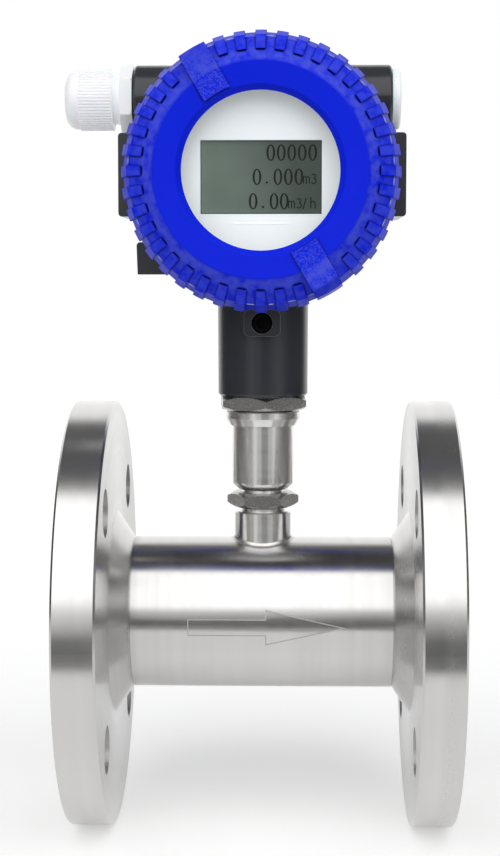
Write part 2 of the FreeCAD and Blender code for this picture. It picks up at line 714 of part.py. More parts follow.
def pickup_body():
    """Turned pickup body: tip, thread, barrel, collar and upper thread."""
    thread_r = PICKUP_THREAD_D / 2
    relief_z = BODY_Z - PICKUP_RELIEF_HEIGHT
    thread_z = TUBE_R + PICKUP_THREAD_START
    head_thread_end = NECK_Z + HEAD_THREAD_LENGTH
    section = [(0, TIP_Z), (PICKUP_TIP_D / 2, TIP_Z), (PICKUP_TIP_D / 2, thread_z),
               (thread_r, thread_z), (thread_r, relief_z), (PICKUP_RELIEF_D / 2, relief_z),
               (PICKUP_RELIEF_D / 2, BODY_Z), (BODY_FOOT_D / 2, BODY_Z),
               (BODY_D / 2, BODY_Z + BODY_FOOT_CHAMFER, BODY_FOOT_ROUND), (BODY_D / 2, COLLAR_Z),
               (COLLAR_FOOT_D / 2, COLLAR_Z), (COLLAR_D / 2, COLLAR_Z + COLLAR_TAPER),
               (COLLAR_D / 2, COLLAR_TOP - COLLAR_CHAMFER),
               (COLLAR_D / 2 - COLLAR_CHAMFER, COLLAR_TOP), (HEAD_THREAD_D / 2, COLLAR_TOP),
               (HEAD_THREAD_D / 2, head_thread_end - HEAD_THREAD_LEAD),
               (SPIGOT_D / 2, head_thread_end),
               (SPIGOT_D / 2, PICKUP_TOP), (PICKUP_CHAMBER_D / 2, PICKUP_TOP),
               (PICKUP_CHAMBER_D / 2, PICKUP_STEP_Z), (COIL_BORE_D / 2, PICKUP_STEP_Z),
               (COIL_BORE_D / 2, COIL_FLOOR_Z), (0, COIL_FLOOR_Z)]
    return turned(section, STEM, Z_AXIS)


def pickup_bobbin():
    """Spool for the coil, with a cheek at each end."""
    bottom = COIL_FLOOR_Z + SEAT_GAP
    top = bottom + BOBBIN_LENGTH
    pin_r = POLE_PIN_D / 2 + SLIP_FIT
    barrel_r = pin_r + BOBBIN_BARREL_WALL
    return turned([(pin_r, bottom), (BOBBIN_D / 2, bottom), (BOBBIN_D / 2, bottom + BOBBIN_CHEEK),
                   (barrel_r, bottom + BOBBIN_CHEEK), (barrel_r, top - BOBBIN_CHEEK),
                   (BOBBIN_D / 2, top - BOBBIN_CHEEK), (BOBBIN_D / 2, top), (pin_r, top)],
                  STEM, Z_AXIS)


def pickup_coil():
    """Wound coil between the bobbin's cheeks."""
    bottom = COIL_FLOOR_Z + SEAT_GAP + BOBBIN_CHEEK + SLIP_FIT
    top = COIL_FLOOR_Z + SEAT_GAP + BOBBIN_LENGTH - BOBBIN_CHEEK - SLIP_FIT
    inner = POLE_PIN_D / 2 + BOBBIN_BARREL_WALL + 2 * SLIP_FIT
    return tube(BOBBIN_D / 2 - COIL_MARGIN, inner, bottom, top, STEM, Z_AXIS)


def pickup_pole_pin():
    """Soft-iron pin that carries the magnet's field to the tip."""
    return rod(POLE_PIN_D / 2, COIL_FLOOR_Z + SEAT_GAP, MAGNET_Z, STEM, Z_AXIS)


def pickup_magnet():
    """Round magnet standing on the bobbin and the pin."""
    return rod(BOBBIN_D / 2, MAGNET_Z, MAGNET_Z + MAGNET_LENGTH, STEM, Z_AXIS)


def pickup_potting():
    """Cast filling above the magnet that holds the cable's end."""
    low = MAGNET_Z + MAGNET_LENGTH
    small = COIL_BORE_D / 2 - SLIP_FIT
    large = PICKUP_CHAMBER_D / 2 - SLIP_FIT
    step = PICKUP_STEP_Z + SLIP_FIT
    return turned([(0, low), (small, low), (small, step), (large, step), (large, POTTING_TOP),
                   (0, POTTING_TOP)], STEM, Z_AXIS)


def pickup_cable():
    """Short lead from the pickup's filling straight up to the terminals."""
    return rod(CABLE_D / 2, POTTING_TOP, TERMINAL_Z - TERMINAL_HEIGHT / 2, STEM, Z_AXIS)


def pickup_lock_nut():
    """Lower lock nut on the pickup's thread, a flat to the front."""
    return hex_nut(LOCK_NUT_FLATS, LOCK_NUT_HEIGHT, LOCK_NUT_CHAMFER,
                   PICKUP_THREAD_D / 2 + THREAD_CLEARANCE, point(MID_X, 0, LOCK_NUT_Z), Z_AXIS, 0)


def stem_gasket():
    """Thin black washer on the pickup's collar."""
    return tube(STEM_GASKET_D / 2, HEAD_THREAD_D / 2 + THREAD_CLEARANCE, COLLAR_TOP, HEAD_NUT_Z,
                STEM, Z_AXIS)


def head_lock_nut():
    """Thin upper lock nut under the head's neck, a corner to the front."""
    return hex_nut(HEAD_NUT_FLATS, HEAD_NUT_HEIGHT, HEAD_NUT_CHAMFER,
                   HEAD_THREAD_D / 2 + THREAD_CLEARANCE, point(MID_X, 0, HEAD_NUT_Z), Z_AXIS,
                   HEAD_NUT_TURN)


# Head housing

def barrel_blank():
    """Solid barrel with a threaded mouth at each end."""
    edge = BARREL_EDGE
    return turned([(0, MOUTH_FRONT_Y), (MOUTH_R - MOUTH_CHAMFER, MOUTH_FRONT_Y),
                   (MOUTH_R, MOUTH_FRONT_Y + MOUTH_CHAMFER), (MOUTH_R, FRONT_Y),
                   (BARREL_R, FRONT_Y, edge), (BARREL_R, BACK_Y, edge), (MOUTH_R, BACK_Y),
                   (MOUTH_R, MOUTH_BACK_Y - MOUTH_CHAMFER),
                   (MOUTH_R - MOUTH_CHAMFER, MOUTH_BACK_Y), (0, MOUTH_BACK_Y)], HEAD, Y_AXIS)


def neck_blank():
    """Tapered neck that widens where it runs into the barrel."""
    flare_top = HEAD_Z - NECK_FLARE_TOP
    flare_start = flare_top - NECK_FLARE_HEIGHT
    foot_r = NECK_FOOT_D / 2
    return turned([(0, NECK_Z), (foot_r - NECK_CHAMFER, NECK_Z), (foot_r, NECK_Z + NECK_CHAMFER),
                   (NECK_D / 2, flare_start, NECK_FLARE_ROUND), (NECK_FLARE_D / 2, flare_top),
                   (0, flare_top)], STEM, Z_AXIS)


def conduit_blank():
    """Cylinder through the barrel whose ends are the two conduit bosses."""
    radius = CONDUIT_BOSS_D / 2
    return turned([(0, -CONDUIT_REACH), (radius, -CONDUIT_REACH, CONDUIT_EDGE),
                   (radius, CONDUIT_REACH, CONDUIT_EDGE), (0, CONDUIT_REACH)],
                  point(MID_X, 0, CONDUIT_Z), X_AXIS)


def ear_blank():
    """Flat pads on both sides of the barrel, as one bar through it."""
    half = EAR_HEIGHT / 2
    bar = prism([(-EAR_REACH, -half, EAR_ROUND), (EAR_REACH, -half, EAR_ROUND),
                 (EAR_REACH, half, EAR_ROUND), (-EAR_REACH, half, EAR_ROUND)],
                -EAR_FORWARD, EAR_LENGTH - EAR_FORWARD, HEAD, Y_AXIS)
    recess = box(point(EAR_REACH - EAR_RECESS, EAR_RIM - EAR_FORWARD, EAR_RIM - half),
                 point(EAR_REACH + EAR_RECESS, EAR_LENGTH - EAR_FORWARD - EAR_RIM, half - EAR_RIM))
    recess.translate(HEAD)
    return bar.cut([recess, mirrored(recess)])


def ground_blank():
    """Block low on the inlet side that carries the earthing screw."""
    top = HEAD_Z - GROUND_BLOCK_TOP
    low = top - GROUND_BLOCK_HEIGHT
    outer = MID_X - GROUND_BLOCK_REACH
    inner = outer + GROUND_BLOCK_WIDTH
    flat = [(outer + GROUND_BLOCK_DRAFT, low), (inner, low), (inner, top),
            (outer, top, GROUND_BLOCK_ROUND)]
    block = Part.Face(outline(flat)).extrude(point(0, 0, GROUND_BLOCK_LENGTH))
    block.rotate(point(0, 0, 0), X_AXIS, 90)
    block.translate(point(0, GROUND_BLOCK_LENGTH - GROUND_BLOCK_FORWARD, 0))
    return block


def set_pad_blank():
    """Raised pad on the neck's front round the set screw."""
    across = SET_PAD_WIDTH / 2
    up = SET_PAD_HEIGHT / 2
    corners = [(-across, -up, SET_PAD_ROUND), (across, -up, SET_PAD_ROUND),
               (across, up, SET_PAD_ROUND), (-across, up, SET_PAD_ROUND)]
    return prism(corners, -SET_PAD_REACH, 0, point(MID_X, 0, SET_PAD_Z), Y_AXIS)


def ground_base():
    """Centre of the earthing screw's seat on the block's back face."""
    return point(MID_X - GROUND_BLOCK_REACH + GROUND_SCREW_INSET,
                 GROUND_BLOCK_LENGTH - GROUND_BLOCK_FORWARD,
                 HEAD_Z - GROUND_BLOCK_TOP - GROUND_BLOCK_HEIGHT / 2)


def post_places(count, circle_r, start, y):
    """Centres of evenly spaced posts about the head's axis."""
    places = []
    for step in range(count):
        angle = math.radians(start + 360.0 * step / count)
        places.append(point(MID_X + circle_r * math.cos(angle), y,
                            HEAD_Z + circle_r * math.sin(angle)))
    return places


def standoff_places(y):
    """Centres of the display board's pillars."""
    return post_places(STANDOFF_COUNT, STANDOFF_CIRCLE_R, STANDOFF_START, y)


def housing_openings():
    """Everything that is bored out of the casting."""
    front = rod(CHAMBER_BORE_R, MOUTH_FRONT_Y, PARTITION_FRONT_Y, HEAD, Y_AXIS)
    rear = rod(CHAMBER_BORE_R, PARTITION_BACK_Y, MOUTH_BACK_Y, HEAD, Y_AXIS)
    entry_base = point(MID_X, 0, CONDUIT_Z)
    inlet_entry = rod(CONDUIT_HOLE_R, -CONDUIT_REACH, 0, entry_base, X_AXIS)
    outlet_entry = mirrored(inlet_entry)
    slab = box(point(0, MOUTH_FRONT_Y, HEAD_Z), point(FACE_TO_FACE, PARTITION_BACK_Y, 2 * HEAD_Z))
    entries = [inlet_entry.cut(slab), outlet_entry.cut(slab)]
    thread = rod(HEAD_THREAD_D / 2 + THREAD_CLEARANCE, NECK_Z, NECK_Z + NECK_THREAD_DEPTH,
                 STEM, Z_AXIS)
    spigot = rod(SPIGOT_D / 2 + SEAT_GAP, NECK_Z, PICKUP_TOP + SEAT_GAP, STEM, Z_AXIS)
    cable = rod(CABLE_HOLE_D / 2, NECK_Z, HEAD_Z - CHAMBER_BORE_R / 2, STEM, Z_AXIS)
    set_hole = rod(SET_SCREW_D / 2 + THREAD_CLEARANCE, -SET_PAD_REACH, 0,
                   point(MID_X, 0, SET_PAD_Z), Y_AXIS)
    ground = rod(GROUND_SCREW_D / 2 + THREAD_CLEARANCE, -GROUND_SCREW_LENGTH - GROUND_HOLE_SPARE,
                 0, ground_base(), Y_AXIS)
    slot_x = RIBBON_WIDTH / 2 + RIBBON_CLEARANCE
    slot_z = RIBBON_THICKNESS / 2 + RIBBON_CLEARANCE
    slot = box(point(MID_X - slot_x, PARTITION_FRONT_Y, HEAD_Z - RIBBON_DROP - slot_z),
               point(MID_X + slot_x, PARTITION_BACK_Y, HEAD_Z - RIBBON_DROP + slot_z))
    holes = [rod(SMALL_SCREW_D / 2 + SLIP_FIT, 0, STUD_LENGTH + SEAT_GAP, place, Y_AXIS)
             for place in standoff_places(PARTITION_FRONT_Y)]
    return [front, rear, thread, spigot, cable, set_hole, ground, slot] + entries + holes


def head_housing():
    """One casting: barrel, neck, conduit bosses, side pads and earthing block."""
    blanks = [neck_blank(), conduit_blank(), ear_blank(), ground_blank(), set_pad_blank()]
    casting = joined(barrel_blank(), blanks)
    return casting.cut(housing_openings())


def neck_set_screw():
    """Socket set screw in the neck's front pad, its point near the spigot."""
    start = -SET_PAD_REACH + SET_SCREW_INSET
    end = -SPIGOT_D / 2 - SEAT_GAP
    base = point(MID_X, 0, SET_PAD_Z)
    radius = SET_SCREW_D / 2
    screw = turned([(0, start), (radius - SET_SCREW_EDGE, start),
                    (radius, start + SET_SCREW_EDGE), (radius, end - SET_SCREW_POINT),
                    (radius - SET_SCREW_POINT, end), (0, end)], base, Y_AXIS)
    return screw.cut(prism(hexagon(SET_SOCKET_FLATS), start, start + SET_SOCKET_DEPTH,
                           base, Y_AXIS))


def ground_screw():
    """Earthing screw on the block's back face."""
    base = ground_base() + Y_AXIS * GROUND_WASHER_THICKNESS
    return slotted_screw(GROUND_SCREW_D, GROUND_SCREW_LENGTH, GROUND_HEAD_D, GROUND_HEAD_HEIGHT,
                         base, Y_AXIS)


def ground_washer():
    """Washer under the earthing screw's head."""
    return tube(GROUND_WASHER_D / 2, GROUND_SCREW_D / 2 + THREAD_CLEARANCE, 0,
                GROUND_WASHER_THICKNESS, ground_base(), Y_AXIS)


# Covers

def cover_front(depth):
    """Outer outline of a cover from its rear edge to its flat, as (radius, depth)."""
    seam = depth - COVER_DEPTH + COVER_SEAM_DEPTH
    return [(COVER_R - COVER_EDGE, COVER_GAP), (COVER_R, COVER_GAP + COVER_EDGE),
            (COVER_R, COVER_BAND), (COVER_SEAM_R, seam), (COVER_FLAT_R, depth)]


def cover_teeth(depth, base, axis):
    """Grip teeth standing proud of the cover's shoulder and band."""
    solid = Part.Face(outline([(0, COVER_GAP)] + cover_front(depth) + [(0, depth)]))
    grown = solid.makeOffset2D(TOOTH_HEIGHT, 2)
    reach = 2 * COVER_R
    zone = Part.Face(outline([(TOOTH_INNER_R, COVER_GAP), (reach, COVER_GAP),
                              (reach, depth), (TOOTH_INNER_R, depth)]))
    sunk = [(r - TOOTH_HEIGHT, h - TOOTH_HEIGHT / 2) for r, h in cover_front(depth)[1:]]
    inset = Part.Face(outline([(0, COVER_GAP), (sunk[0][0], COVER_GAP)] + sunk
                              + [(0, depth - TOOTH_HEIGHT)]))
    section = grown.common(zone).cut(inset)
    pitch = 360.0 / TOOTH_COUNT
    sweep = pitch * TOOTH_SHARE
    tooth = section.revolve(point(0, 0, 0), Y_AXIS, sweep)
    tooth.rotate(point(0, 0, 0), Y_AXIS, -sweep / 2)
    pad_half = math.degrees(math.asin(PAD_WIDTH / 2 / TOOTH_INNER_R))
    teeth = []
    for step in range(TOOTH_COUNT):
        angle = (step * pitch - PAD_TURN) % 180
        if min(angle, 180 - angle) < pad_half + sweep / 2:
            continue
        copy = tooth.copy()
        copy.rotate(point(0, 0, 0), Y_AXIS, step * pitch)
        teeth.append(placed(copy, base, axis))
    return teeth


def cover_pads(depth, base, axis):
    """Two parallel-sided wrench pads on opposite sides of the cover."""
    outer_r = COVER_R + TOOTH_HEIGHT
    top = depth + PAD_RISE
    back = COVER_GAP + COVER_WEB
    section = turned([(PAD_INNER_R, back), (outer_r - COVER_WEB, back),
                      (outer_r - COVER_WEB, COVER_BAND), (outer_r, COVER_BAND),
                      (outer_r - PAD_SIDE_DRAFT, top - PAD_BEVEL_DROP),
                      (outer_r - PAD_BEVEL, top, PAD_ROUND), (PAD_INNER_R, top)],
                     point(0, 0, 0), Y_AXIS)
    half = PAD_WIDTH / 2
    bar = box(point(-2 * outer_r, top - COVER_WEB, -half), point(2 * outer_r, top, half))
    lower = box(point(-2 * outer_r, 0, -half), point(2 * outer_r, top, half))
    lower = lower.cut(rod(MOUTH_R + COVER_WEB / 2, 0, top, point(0, 0, 0), Y_AXIS))
    pads = section.common(joined(bar, [lower]))
    pads.rotate(point(0, 0, 0), Y_AXIS, PAD_TURN)
    return [placed(pad, base, axis) for pad in pads.Solids]


def cover_skirt():
    """Inner outline of a cover's skirt, from its bore back to its rear edge."""
    bore_r = MOUTH_R + SEAT_GAP
    groove_r = bore_r + O_RING_SECTION + SEAT_GAP
    groove_top = SEAT_GAP + O_RING_SECTION + SEAT_GAP
    floor = MOUTH_LENGTH + COVER_GAP
    return [(bore_r, floor), (bore_r, groove_top), (groove_r, groove_top), (groove_r, COVER_GAP)]


def front_cover():
    """Ribbed cover with the display window and the window's threaded seat."""
    dish = COVER_DEPTH - COVER_DISH
    bevel_r = WINDOW_R + WINDOW_BEVEL
    collar_end = GLASS_BACK - RING_THICKNESS
    inner = [(WINDOW_R, dish - WINDOW_BEVEL), (WINDOW_R, WINDOW_SEAT),
             (GLASS_POCKET_R, WINDOW_SEAT), (GLASS_POCKET_R, collar_end),
             (GLASS_POCKET_R + COLLAR_WALL, collar_end),
             (GLASS_POCKET_R + COLLAR_WALL, MOUTH_LENGTH + COVER_GAP)]
    base = point(MID_X, FRONT_Y, HEAD_Z)
    axis = Y_AXIS * -1
    body = turned(cover_front(COVER_DEPTH) + [(bevel_r, dish)] + inner + cover_skirt(), base, axis)
    extras = cover_teeth(COVER_DEPTH, base, axis) + cover_pads(COVER_DEPTH, base, axis)
    return joined(body, extras)


def rear_cover():
    """Ribbed blind cover over the terminals."""
    base = point(MID_X, BACK_Y, HEAD_Z)
    floor = REAR_COVER_DEPTH - COVER_WEB
    dish_r = COVER_FLAT_R - COVER_WEB
    section = cover_front(REAR_COVER_DEPTH) + [
        (dish_r, REAR_COVER_DEPTH), (dish_r - COVER_DISH, REAR_COVER_DEPTH - COVER_DISH),
        (0, REAR_COVER_DEPTH - COVER_DISH), (0, floor), (CHAMBER_BORE_R, floor),
        (CHAMBER_BORE_R, MOUTH_LENGTH + COVER_GAP)] + cover_skirt()
    body = turned(section, base, Y_AXIS)
    extras = cover_teeth(REAR_COVER_DEPTH, base, Y_AXIS)
    return joined(body, extras + cover_pads(REAR_COVER_DEPTH, base, Y_AXIS))


def cover_o_ring(end_y, axis):
    """Seal ring between a cover and the barrel's end face."""
    return torus_ring(MOUTH_R + SEAT_GAP, O_RING_SECTION, SEAT_GAP + O_RING_SECTION / 2,
                      point(MID_X, end_y, HEAD_Z), axis)


def plug_o_ring():
    """Seal ring round the blind plug's thread, in its head's recess."""
    return torus_ring(CONDUIT_THREAD_D / 2 + SLIP_FIT, PLUG_RING_SECTION,
                      SLIP_FIT + PLUG_RING_SECTION / 2, OUTLET_ENTRY, X_AXIS)


def window_stack(inner, outer, start, end):
    """Ring or disc of the window stack, between two depths of the front cover."""
    base = point(MID_X, FRONT_Y, HEAD_Z)
    if inner == 0:
        return rod(outer, start, end, base, Y_AXIS * -1)
    return tube(outer, inner, start, end, base, Y_AXIS * -1)


def window_retaining_ring():
    """Threaded ring behind the glass, with two slots for a pin wrench."""
    outer = GLASS_POCKET_R - THREAD_CLEARANCE
    ring = window_stack(outer - RING_WIDTH, outer, GLASS_BACK - RING_THICKNESS, GLASS_BACK)
    half = RING_SLOT_WIDTH / 2
    slot = box(point(-GLASS_POCKET_R, 0, -half), point(GLASS_POCKET_R, RING_SLOT_DEPTH, half))
    slot.translate(point(MID_X, FRONT_Y - GLASS_BACK + RING_THICKNESS - RING_SLOT_DEPTH, HEAD_Z))
    return ring.cut(slot)


# Display module

def display_bezel():
    """White cup whose front plate frames the display."""
    outer = CHAMBER_BORE_R - BEZEL_MARGIN
    shell = turned([(0, BEZEL_Y), (outer, BEZEL_Y, BEZEL_ROUND), (outer, BOARD_Y),
                    (outer - BEZEL_WALL, BOARD_Y), (outer - BEZEL_WALL, LCD_Y), (0, LCD_Y)],
                   HEAD, Y_AXIS)
    return shell.cut(display_block(0, BEZEL_Y, LCD_Y))


def display_block(border, start, end):
    """Upright block centred on the display, with a border round the shown area."""
    across = LCD_WIDTH / 2 + border
    up = LCD_HEIGHT / 2 + border
    return box(point(MID_X - across, start, LCD_Z - up), point(MID_X + across, end, LCD_Z + up))


def display_board():
    """Round board behind the display, drilled for its screws."""
    board = rod(CHAMBER_BORE_R - BOARD_MARGIN, BOARD_Y, BOARD_BACK_Y, HEAD, Y_AXIS)
    holes = [rod(SMALL_SCREW_D / 2 + SLIP_FIT, BOARD_Y, BOARD_BACK_Y, place, Y_AXIS)
             for place in standoff_places(0)]
    return board.cut(holes)


def display_standoffs():
    """Hexagonal pillars between the partition and the display board."""
    length = PARTITION_FRONT_Y - BOARD_BACK_Y
    posts = []
    for place in standoff_places(PARTITION_FRONT_Y):
        post = prism(hexagon(STANDOFF_FLATS), -length, 0, place, Y_AXIS)
        stud = rod(SMALL_SCREW_D / 2, -STUD_LENGTH / 2, STUD_LENGTH, place, Y_AXIS)
        hole = rod(SMALL_SCREW_D / 2 + SLIP_FIT, -length, SCREW_REACH - length, place, Y_AXIS)
        posts.append(joined(post, [stud]).cut(hole))
    return Part.makeCompound(posts)


def display_screws():
    """Screws that hold the display board on its pillars."""
    length = BOARD_THICKNESS + SCREW_REACH - SEAT_GAP
    return Part.makeCompound([slotted_screw(SMALL_SCREW_D, length, SMALL_HEAD_D,
                                            SMALL_HEAD_HEIGHT, place, Y_AXIS * -1)
                              for place in standoff_places(BOARD_Y)])


def display_ribbon():
    """Flat cable between the two boards, through the partition's slot."""
    across = RIBBON_WIDTH / 2
    half = RIBBON_THICKNESS / 2
    level = HEAD_Z - RIBBON_DROP
    return box(point(MID_X - across, BOARD_BACK_Y, level - half),
               point(MID_X + across, TERMINAL_BOARD_Y, level + half))


# Terminals

def spacer_places(y):
    """Centres of the terminal board's spacers."""
    return post_places(SPACER_COUNT, SPACER_CIRCLE_R, 180.0 / SPACER_COUNT, y)


def terminal_board():
    """Round board that carries the terminal block."""
    radius = CHAMBER_BORE_R - TERMINAL_BOARD_MARGIN
    board = rod(radius, TERMINAL_BOARD_Y, TERMINAL_Y, HEAD, Y_AXIS)
    holes = [rod(SMALL_SCREW_D / 2 + SLIP_FIT, TERMINAL_BOARD_Y, TERMINAL_Y, place, Y_AXIS)
             for place in spacer_places(0)]
    return board.cut(holes)


def terminal_spacers():
    """Spacers between the partition and the terminal board."""
    return Part.makeCompound([tube(SPACER_D / 2, SMALL_SCREW_D / 2 + SLIP_FIT, 0, SPACER_LENGTH,
                                   place, Y_AXIS)
                              for place in spacer_places(PARTITION_BACK_Y)])


def terminal_board_screws():
    """Screws through the terminal board into its spacers."""
    length = BOARD_THICKNESS + SPACER_LENGTH - SEAT_GAP
    return Part.makeCompound([slotted_screw(SMALL_SCREW_D, length, SMALL_HEAD_D,
                                            SMALL_HEAD_HEIGHT, place, Y_AXIS)
                              for place in spacer_places(TERMINAL_Y)])


def terminal_places(y):
    """Centres of the terminals along the block."""
    first = -(TERMINAL_COUNT - 1) / 2 * TERMINAL_PITCH
    return [point(MID_X + first + step * TERMINAL_PITCH, y, TERMINAL_Z)
            for step in range(TERMINAL_COUNT)]


def terminal_block():
    """Moulded block with a screw well and a wire entry for each terminal."""
    across = TERMINAL_WIDTH / 2
    up = TERMINAL_HEIGHT / 2
    back = TERMINAL_Y + TERMINAL_DEPTH
    block = box(point(MID_X - across, TERMINAL_Y, TERMINAL_Z - up),
                point(MID_X + across, back, TERMINAL_Z + up))
    half = TERMINAL_ENTRY / 2
    middle = TERMINAL_Y + TERMINAL_DEPTH / 3
    cuts = []
    for place in terminal_places(back):
        cuts.append(rod(TERMINAL_WELL_D / 2, -TERMINAL_WELL_DEPTH, 0, place, Y_AXIS))
        cuts.append(box(point(place.x - half, middle - half, TERMINAL_Z - up),
                        point(place.x + half, middle + half,
                              TERMINAL_Z - up + TERMINAL_ENTRY_DEPTH)))
    return block.cut(cuts)


def terminal_screws():
    """Clamp screws lying in the terminal block's wells."""
    floor = TERMINAL_Y + TERMINAL_DEPTH - TERMINAL_WELL_DEPTH
    radius = TERMINAL_WELL_D / 2 - SLIP_FIT
    screws = []
    for place in terminal_places(floor):
        screw = rod(radius, 0, TERMINAL_SCREW_HEIGHT, place, Y_AXIS)
        half = SCREW_SLOT_WIDTH / 2
        slot = box(point(-radius, TERMINAL_SCREW_HEIGHT / 2, -half),
                   point(radius, TERMINAL_SCREW_HEIGHT, half))
        slot.translate(place)
        screws.append(screw.cut(slot))
    return Part.makeCompound(screws)


# Cable gland and blind plug

def gland_washer():
    """Flat sealing washer between the gland and the conduit boss."""
    return tube(GLAND_HEX_FLATS / 2 - SEAT_GAP, CONDUIT_THREAD_D / 2 + THREAD_CLEARANCE, 0,
                GLAND_WASHER_THICKNESS, INLET_ENTRY, OUT_INLET)


def gland_body():
    """Gland body: conduit thread, hexagon, outer thread and cable bore."""
    thread_r = CONDUIT_THREAD_D / 2
    neck_r = GLAND_NECK_D / 2
    core = turned([(0, -GLAND_THREAD_LENGTH), (thread_r - GLAND_LEAD, -GLAND_THREAD_LENGTH),
                   (thread_r, GLAND_LEAD - GLAND_THREAD_LENGTH),
                   (thread_r, GLAND_WASHER_THICKNESS), (neck_r, GLAND_WASHER_THICKNESS),
                   (neck_r, GLAND_NECK_END - GLAND_NECK_EDGE),
                   (neck_r - GLAND_NECK_EDGE, GLAND_NECK_END), (0, GLAND_NECK_END)],
                  INLET_ENTRY, OUT_INLET)
    hexagon_base = INLET_ENTRY + OUT_INLET * GLAND_WASHER_THICKNESS
    collar = hex_nut(GLAND_HEX_FLATS, GLAND_HEX_LENGTH, GLAND_HEX_CHAMFER, neck_r / 2,
                     hexagon_base, OUT_INLET, GLAND_HEX_TURN)
    bore = rod(GLAND_BORE_D / 2, -GLAND_THREAD_LENGTH, GLAND_NECK_END, INLET_ENTRY, OUT_INLET)
    mouth = rod(GLAND_MOUTH_D / 2, GLAND_NECK_END - GLAND_MOUTH_DEPTH, GLAND_NECK_END,
                INLET_ENTRY, OUT_INLET)
    return joined(core, [collar]).cut([bore, mouth])


def gland_seal():
    """Rubber sleeve that closes on the cable."""
    start = GLAND_NECK_END - GLAND_MOUTH_DEPTH + SEAT_GAP
    return tube(SEAL_R, CABLE_ENTRY_D / 2, start, start + SEAL_LENGTH, INLET_ENTRY, OUT_INLET)


def gland_claw():
    """Slotted clamp ring round the seal, driven by the nut."""
    start = GLAND_NECK_END + SEAT_GAP
    inner = SEAL_R + SLIP_FIT
    end = start + CLAW_LENGTH
    ring = turned([(inner, start), (inner + CLAW_WALL, start),
                   (inner + CLAW_WALL, end - CLAW_WALL), (inner + CLAW_WALL / 2, end),
                   (inner, end)], INLET_ENTRY, OUT_INLET)
    half = CLAW_SLOT_WIDTH / 2
    slot = prism([(0, -half), (2 * inner, -half), (2 * inner, half), (0, half)],
                 start + CLAW_BASE, end, INLET_ENTRY, OUT_INLET)
    return ring.cut(around(slot, CLAW_SLOTS, INLET_ENTRY, X_AXIS))


def gland_ribs():
    """Ribbed grip of the gland nut, as one fluted prism."""
    low = GLAND_NUT_D / 2
    high = low + GLAND_RIB_HEIGHT
    pitch = 2 * math.pi / GLAND_RIB_COUNT
    foot = pitch * GLAND_RIB_SHARE / 2
    crest = foot * GLAND_CREST_SHARE
    corners = []
    for step in range(GLAND_RIB_COUNT):
        for radius, offset in ((low, -foot), (high, -crest), (high, crest), (low, foot)):
            angle = step * pitch + offset
            corners.append((radius * math.cos(angle), radius * math.sin(angle)))
    return prism(corners, GLAND_NUT_START, GLAND_NUT_START + GLAND_NUT_GRIP, INLET_ENTRY, OUT_INLET)


def gland_nut():
    """Domed nut that presses the claw on the seal."""
    radius = GLAND_NUT_D / 2
    start = GLAND_NUT_START
    end = start + GLAND_NUT_LENGTH
    dome = turned([(0, start), (radius, start), (radius, end, GLAND_DOME_ROUND), (0, end)],
                  INLET_ENTRY, OUT_INLET)
    claw_r = SEAL_R + SLIP_FIT + CLAW_WALL + SEAT_GAP
    claw_end = GLAND_NECK_END + SEAT_GAP + CLAW_LENGTH
    hole_r = GLAND_NUT_HOLE_D / 2
    thread_r = GLAND_NECK_D / 2 + THREAD_CLEARANCE
    cavity = turned([(0, start), (thread_r, start), (thread_r, GLAND_NECK_END + SEAT_GAP),
                     (claw_r, GLAND_NECK_END + SEAT_GAP), (claw_r, claw_end - CLAW_WALL + SEAT_GAP),
                     (claw_r - CLAW_WALL / 2, claw_end + SEAT_GAP),
                     (hole_r, claw_end + SEAT_GAP), (hole_r, end), (0, end)],
                    INLET_ENTRY, OUT_INLET)
    return joined(dome, [gland_ribs()]).cut(cavity)


def blind_plug():
    """Hollow plug that closes the outlet-side conduit entry."""
    head_r = PLUG_HEAD_D / 2
    thread_r = CONDUIT_THREAD_D / 2
    ring_end = PLUG_RING_SECTION + 2 * SLIP_FIT
    ring_r = thread_r + PLUG_RING_SECTION + 2 * SLIP_FIT
    inner_r = thread_r - PLUG_WALL
    plug = turned([(0, 0), (inner_r, 0), (inner_r, -PLUG_THREAD_LENGTH),
                   (thread_r - PLUG_LEAD, -PLUG_THREAD_LENGTH),
                   (thread_r, PLUG_LEAD - PLUG_THREAD_LENGTH), (thread_r, ring_end),
                   (ring_r, ring_end), (ring_r, PLUG_GAP), (head_r, PLUG_GAP),
                   (head_r, PLUG_HEAD_HEIGHT, PLUG_HEAD_ROUND), (0, PLUG_HEAD_HEIGHT)],
                  OUTLET_ENTRY, X_AXIS)
    depth = PLUG_HEAD_HEIGHT - ring_end - SLIP_FIT
    socket = prism(hexagon(PLUG_SOCKET_FLATS), PLUG_HEAD_HEIGHT - depth, PLUG_HEAD_HEIGHT,
                   OUTLET_ENTRY, X_AXIS)
    return plug.cut(socket)


NODES = {}
for build in (inlet_flange, meter_tube, sensor_boss, boss_weld, inlet_flow_guide,
              inlet_retaining_ring, inlet_bearing, turbine_rotor, rotor_shaft, pickup_body,
              pickup_bobbin, pickup_coil, pickup_pole_pin, pickup_magnet, pickup_potting,
              pickup_cable, pickup_lock_nut, stem_gasket, head_lock_nut, head_housing,
              neck_set_screw, ground_screw, ground_washer, front_cover, rear_cover,
              window_retaining_ring, display_bezel, display_board, display_standoffs,
              display_screws, display_ribbon, terminal_board, terminal_spacers,
              terminal_board_screws, terminal_block, terminal_screws, gland_washer, gland_body,
              gland_seal, gland_claw, gland_nut, blind_plug, plug_o_ring):
    NODES[build.__name__] = build()

for piece in ("flange", "flow_guide", "retaining_ring", "bearing"):
    NODES["outlet_" + piece] = mirrored(NODES["inlet_" + piece])

